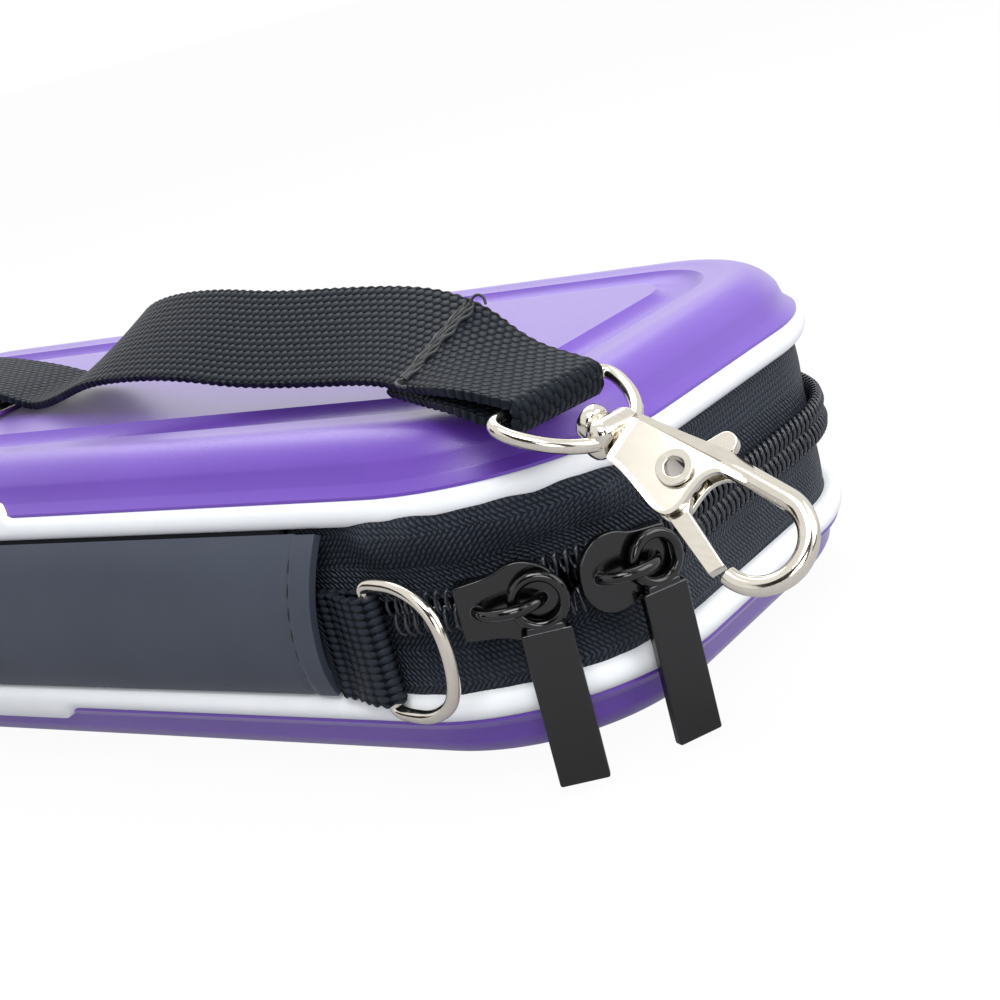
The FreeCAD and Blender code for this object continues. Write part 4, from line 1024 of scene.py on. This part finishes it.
# Carrying strap: one length of webbing, as x, y, z of its middle, turn of its width, tilt of its near edge
strapForm = {
    "width": 15.0, "thickness": 1.3, "easeShare": 0.3, "loopLength": 1.75, "loopRise": 0.12, "loopFrom": 0.9,
    "step": 0.45, "rows": 24,
    "route": [
        (78.5, -28.0, 54.2, -16, 33), (84.0, -29.9, 53.3, -21, 28), (94.0, -35.1, 50.4, -10, 3),
        (101.7, -36.7, 47.4, -10, 0), (103.5, -37.0, 46.9, -10, 0), (104.4, -37.2, 50.1, -10, 0),
        (102.7, -36.9, 50.6, -10, 0), (94.0, -35.3, 52.6, -10, 3), (84.6, -30.9, 54.8, -21, 27),
        (76.0, -28.2, 56.2, -14, 34), (62.0, -25.2, 56.3, -8, 40), (48.0, -23.6, 56.7, -8, 40),
        (34.0, -21.4, 58.2, -12, 38), (21.0, -18.8, 58.0, -14, 36), (11.0, -16.0, 56.4, -19, 29),
        (2.0, -12.4, 52.4, -21, 14), (-6.0, -9.4, 49.4, -16, 3), (-13.0, -8.0, 48.7, -4, 0),
        (-19.0, -8.0, 50.7, 0, 0), (-27.0, -8.0, 52.4, 0, 0), (-35.0, -8.0, 53.7, 0, 0),
        (-52.0, -8.0, 55.4, 0, 0), (-67.0, -8.0, 55.8, 0, 0), (-82.0, -8.0, 54.0, 0, 0),
        (-96.5, -8.0, 51.6, 0, 0), (-104.5, -8.0, 49.9, 0, 0), (-106.1, -8.0, 49.3, 0, 0),
        (-105.2, -8.0, 46.2, 0, 0), (-103.5, -8.0, 46.7, 0, 0), (-96.0, -8.0, 48.9, 0, 0),
        (-84.0, -8.0, 48.3, 0, 0), (-62.0, -8.0, 48.2, 0, 0), (-45.0, -8.0, 48.2, 0, 0),
        (-38.0, -8.0, 49.2, 0, 0), (-33.0, -8.0, 50.6, 0, 0), (-29.0, -8.0, 50.3, 0, 0),
        (-26.6, -8.0, 50.3, 0, 0),
    ],
    "pathStart": 6, "pathEnd": 25, "bartack": (84.2, -30.8, 55.0),
}


def strapLines(route):
    middles = []
    edges = []
    for x, y, z, turn, tilt in route:
        turn, tilt = math.radians(turn), math.radians(tilt)
        near = Vector((math.sin(turn) * math.cos(tilt), -math.cos(turn) * math.cos(tilt), -math.sin(tilt)))
        middle = Vector((x, y, z))
        middles.append(middle)
        edges.append(middle + near * (strapForm["width"] / 2))
    return routeLine(middles), routeLine(edges)


strapMiddles, strapEdges = strapLines(strapForm["route"])
strapBand = WebbingBand(strapMiddles, strapEdges, strapForm["width"])
strap = webbingPiece("carryStrap", strapBand, strapForm)
finishPiece(strap, "strap", "webbing", strapSkin, ["strap_fold", "strap_run", "strap_loop"], 60)

# Bartack: threads sewn across the doubled strap, with two loose ends as steps (outward, aside, back)
bartackForm = {
    "threads": 5, "spread": 0.42, "thread": 0.24, "from": 1.0, "to": 14.0, "steps": 32, "waves": 1.9,
    "sway": 0.6, "lift": 0.72, "liftSwing": 0.16, "endShare": 0.8,
    "end": [(0.7, 0.0, 0.0), (1.3, 0.8, 0.0), (1.5, 1.5, 0.6), (1.2, 1.6, 1.6), (0.7, 1.1, 2.0)],
}
bartackSpot = Vector(strapForm["bartack"])
nearest = min(range(len(strapMiddles)), key=lambda index: (strapMiddles[index] - bartackSpot).length)
bartackAt = strapBand.lengths[nearest]
outward = 1 if strapBand.out(bartackAt, strapForm["width"] / 2).z > 0 else -1
threads = []
for index in range(bartackForm["threads"]):
    line = []
    for step in range(bartackForm["steps"] + 1):
        across = bartackForm["from"] + (bartackForm["to"] - bartackForm["from"]) * step / bartackForm["steps"]
        phase = across * bartackForm["waves"]
        sway = bartackForm["sway"] * math.sin(phase + index * 2.1)
        along = bartackAt + (index - bartackForm["threads"] // 2 + sway) * bartackForm["spread"]
        lift = bartackForm["lift"] + bartackForm["liftSwing"] * math.cos(phase + index * 2.6)
        line.append(strapBand.place(along, across) + strapBand.out(along, across) * (outward * lift))
    threads.append(wireAlong("bartackThread", line, bartackForm["thread"], sides=2))
for across, reach in ((bartackForm["from"], -1), (bartackForm["to"], 1)):
    root = strapBand.place(bartackAt, across)
    out = strapBand.out(bartackAt, across) * outward
    aside = (strapBand.place(bartackAt, across + reach) - root).normalized()
    back = (strapBand.place(bartackAt - 1.0, across) - root).normalized()
    line = routeLine([root + out * x + aside * y + back * z for x, y, z in bartackForm["end"]], 8)
    threads.append(wireAlong("bartackEnd", line, bartackForm["thread"] * bartackForm["endShare"], sides=2))
bartack = joinPieces(threads, "strapBartack")
bartack.data.transform(Matrix.Scale(mm, 4))
finishPiece(bartack, "strap", "thread", threadSkin, ["strap_bartack"], 60)

slide = easedCopy("strap_adjuster", "strapSlide")
finishPiece(slide, "strap", "nickel", nickelSkin, ["strap_adjuster"], 60)
cordRoute = strapForm["route"][strapForm["pathStart"]:strapForm["pathEnd"] + 1]
cordPath = routeLine([point[:3] for point in cordRoute])
cordLength = sum((second - first).length for first, second in zip(cordPath, cordPath[1:])) * mm
print("strap made,", round(cordLength, 3), "m between its bars")

# Net pocket in the lid: a stretched net with a bound mouth
netForm = {"inset": 7.4, "mouth": 17.5, "level": 37.7, "pitch": 2.1, "strand": 0.6, "sag": 0.36}
netHalfX = caseOutline["length"] / 2 - netForm["inset"]
netHalfY = caseOutline["width"] / 2 - netForm["inset"]
netCorner = caseOutline["corner"] - netForm["inset"]
netWidth = netHalfY + netForm["mouth"]


def netShape(along, across):
    y = across - netHalfY
    past = max(-y - arcY, 0.0)
    half = netHalfX - netCorner + math.sqrt(max(netCorner ** 2 - past ** 2, 1.0))
    x = (along / netHalfX - 1) * half
    slack = math.cos(math.pi * x / (2 * netHalfX)) * math.sin(math.pi * across / netWidth)
    return Vector((x, y, netForm["level"] - netForm["sag"] * slack)) * mm


netSteps = (int(size / netForm["pitch"]) for size in (2 * netHalfX, netWidth))
net = clothGrid("lidNet", 2 * netHalfX, netWidth, *netSteps, netShape)
mergeAndTurnOut(net)
applyModifier(net, "WIREFRAME", thickness=netForm["strand"] * mm, use_boundary=True)
finishPiece(net, "lid", "net", netSkin, ["mesh_pocket"], 60)

# Elastic binding along the net's mouth, and the band across the floor of the base
bindingForm = {"half": 92.7, "start": 13.5, "width": 4.7, "level": 36.75, "thickness": 1.1, "wave": 0.0375,
               "waveRuns": (2.2, 13.0)}
bandForm = {"half": 34.8, "width": 8.0, "level": 7.7, "thickness": 1.1}


def bindingShape(along, across):
    first, second = (math.sin(along / run) for run in bindingForm["waveRuns"])
    level = bindingForm["level"] + bindingForm["wave"] * first * second
    return Vector((along - bindingForm["half"], bindingForm["start"] + across, level)) * mm


def bandShape(along, across):
    return Vector((across - bandForm["width"] / 2, along - bandForm["half"], bandForm["level"])) * mm


binding = clothGrid("netBinding", 2 * bindingForm["half"], bindingForm["width"], 260, 6, bindingShape)
elasticBand = clothGrid("baseBand", 2 * bandForm["half"], bandForm["width"], 90, 10, bandShape)
for piece, form, body, node in ((binding, bindingForm, "lid", "pocket_binding"),
                                (elasticBand, bandForm, "base", "elastic_band")):
    mergeAndTurnOut(piece)
    applyModifier(piece, "SOLIDIFY", thickness=form["thickness"] * mm, offset=0.0)
    easeEdges(piece, 0.3 * mm, 2, 60)
    finishPiece(piece, body, "elastic", elasticSkin, [node], 60)
print("net pocket and elastic made")

# Camera at the photograph's place
view = {"place": (224.2, -205.1, 97.1), "azimuth": 38.2096, "elevation": 15.7883, "roll": -14.8639,
        "lens": 66.726}
camera = bpy.data.objects.new("photoCamera", bpy.data.cameras.new("photoCamera"))
bpy.context.collection.objects.link(camera)
camera.data.lens = view["lens"]
camera.data.sensor_width = 36.0
camera.data.clip_start = 0.01
camera.matrix_world = (Matrix.Translation(Vector(view["place"]) * mm)
                       @ Matrix.Rotation(math.radians(view["azimuth"]), 4, "Z")
                       @ Matrix.Rotation(math.radians(90 - view["elevation"]), 4, "X")
                       @ Matrix.Rotation(math.radians(view["roll"]), 4, "Z"))
bpy.context.scene.camera = camera

# Pale floor that keeps a faint shadow, with the shares of its white that the camera and the metal see
floorForm = {"size": 60.0, "drop": 0.4, "color": "A4A4A8", "white": 1.06, "seen": 0.9, "mirrored": 0.12}
clearSelection()
bpy.ops.mesh.primitive_plane_add(size=floorForm["size"], location=(0, 0, -floorForm["drop"] * mm))
floor = bpy.context.object
floor.name = "studioFloor"
floorSkin, tree, shader = newMaterial("paleFloor", {
    "Base Color": hexColor(floorForm["color"]), "Roughness": 0.9})
rays = addNode(tree, "ShaderNodeLightPath")
mirrored = calc(tree, "MULTIPLY", rays.outputs["Is Glossy Ray"], floorForm["mirrored"])
seen = calc(tree, "MULTIPLY", rays.outputs["Is Camera Ray"], floorForm["seen"])
white = addNode(tree, "ShaderNodeEmission", {"Color": hexColor("FFFFFF"), "Strength": floorForm["white"]})
both = addNode(tree, "ShaderNodeMixShader", links={
    0: calc(tree, "MAXIMUM", seen, mirrored), 1: shader.outputs["BSDF"], 2: white.outputs["Emission"]})
tree.links.new(both.outputs["Shader"], tree.nodes["Material Output"].inputs["Surface"])
floor.data.materials.append(floorSkin)

# White room, brighter where it is seen or mirrored than where it lights the case
roomForm = {"lit": 0.5, "seen": 1.0}
world = bpy.data.worlds.new("whiteRoom")
bpy.context.scene.world = world
world.use_nodes = True
tree = world.node_tree
tree.nodes.clear()
rays = addNode(tree, "ShaderNodeLightPath")
seen = calc(tree, "MAXIMUM", rays.outputs["Is Camera Ray"], rays.outputs["Is Glossy Ray"])
level = addNode(tree, "ShaderNodeMapRange", {"To Min": roomForm["lit"], "To Max": roomForm["seen"]},
                {"Value": seen})
room = addNode(tree, "ShaderNodeBackground", {"Color": hexColor("FFFFFF")},
               {"Strength": level.outputs["Result"]})
addNode(tree, "ShaderNodeOutputWorld", links={"Surface": room.outputs["Background"]})

# Lamps, all turned to the middle of what the picture shows
lampAim = Vector((0.07, -0.03, 0.03))


def faceObject(obj, place):
    obj.location = place
    obj.rotation_euler = (lampAim - Vector(place)).to_track_quat("-Z", "Y").to_euler()


studioLamps = {
    "keyLamp": {"place": (-0.25, 0.35, 0.75), "size": 0.7, "watts": 4.5},
    "fillLamp": {"place": (0.75, 0.15, 0.45), "size": 0.6, "watts": 3.2},
    "frontLamp": {"place": (0.4, -0.5, 0.95), "size": 0.6, "watts": 7.5},
    "cornerLamp": {"place": (0.8, -0.8, 0.34), "size": 0.4, "watts": 2.6},
}
for name, lamp in studioLamps.items():
    light = bpy.data.lights.new(name, "AREA")
    light.shape = "SQUARE"
    light.size = lamp["size"]
    light.energy = lamp["watts"]
    obj = bpy.data.objects.new(name, light)
    bpy.context.collection.objects.link(obj)
    faceObject(obj, lamp["place"])

# Dark cards out of the picture, which only the polished metal and paint mirror
cardSkin, _, _ = newMaterial("darkCard", {"Base Color": hexColor("2E221D"), "Roughness": 0.9})
studioCards = {
    "frontCard": {"place": (0.72, -1.0, 0.6), "size": (1.7, 1.0)},
    "leftCard": {"place": (-0.9, -0.7, 0.2), "size": (0.7, 0.45)},
    "rightCard": {"place": (1.0, 0.1, 0.22), "size": (0.5, 0.35)},
}
for name, card in studioCards.items():
    clearSelection()
    bpy.ops.mesh.primitive_plane_add(size=1.0)
    obj = bpy.context.object
    obj.name = name
    obj.scale = (*card["size"], 1)
    faceObject(obj, card["place"])
    obj.visible_camera = False
    obj.visible_diffuse = False
    obj.visible_shadow = False
    obj.data.materials.append(cardSkin)

bpy.context.scene.view_settings.view_transform = "Standard"
print("scene made")
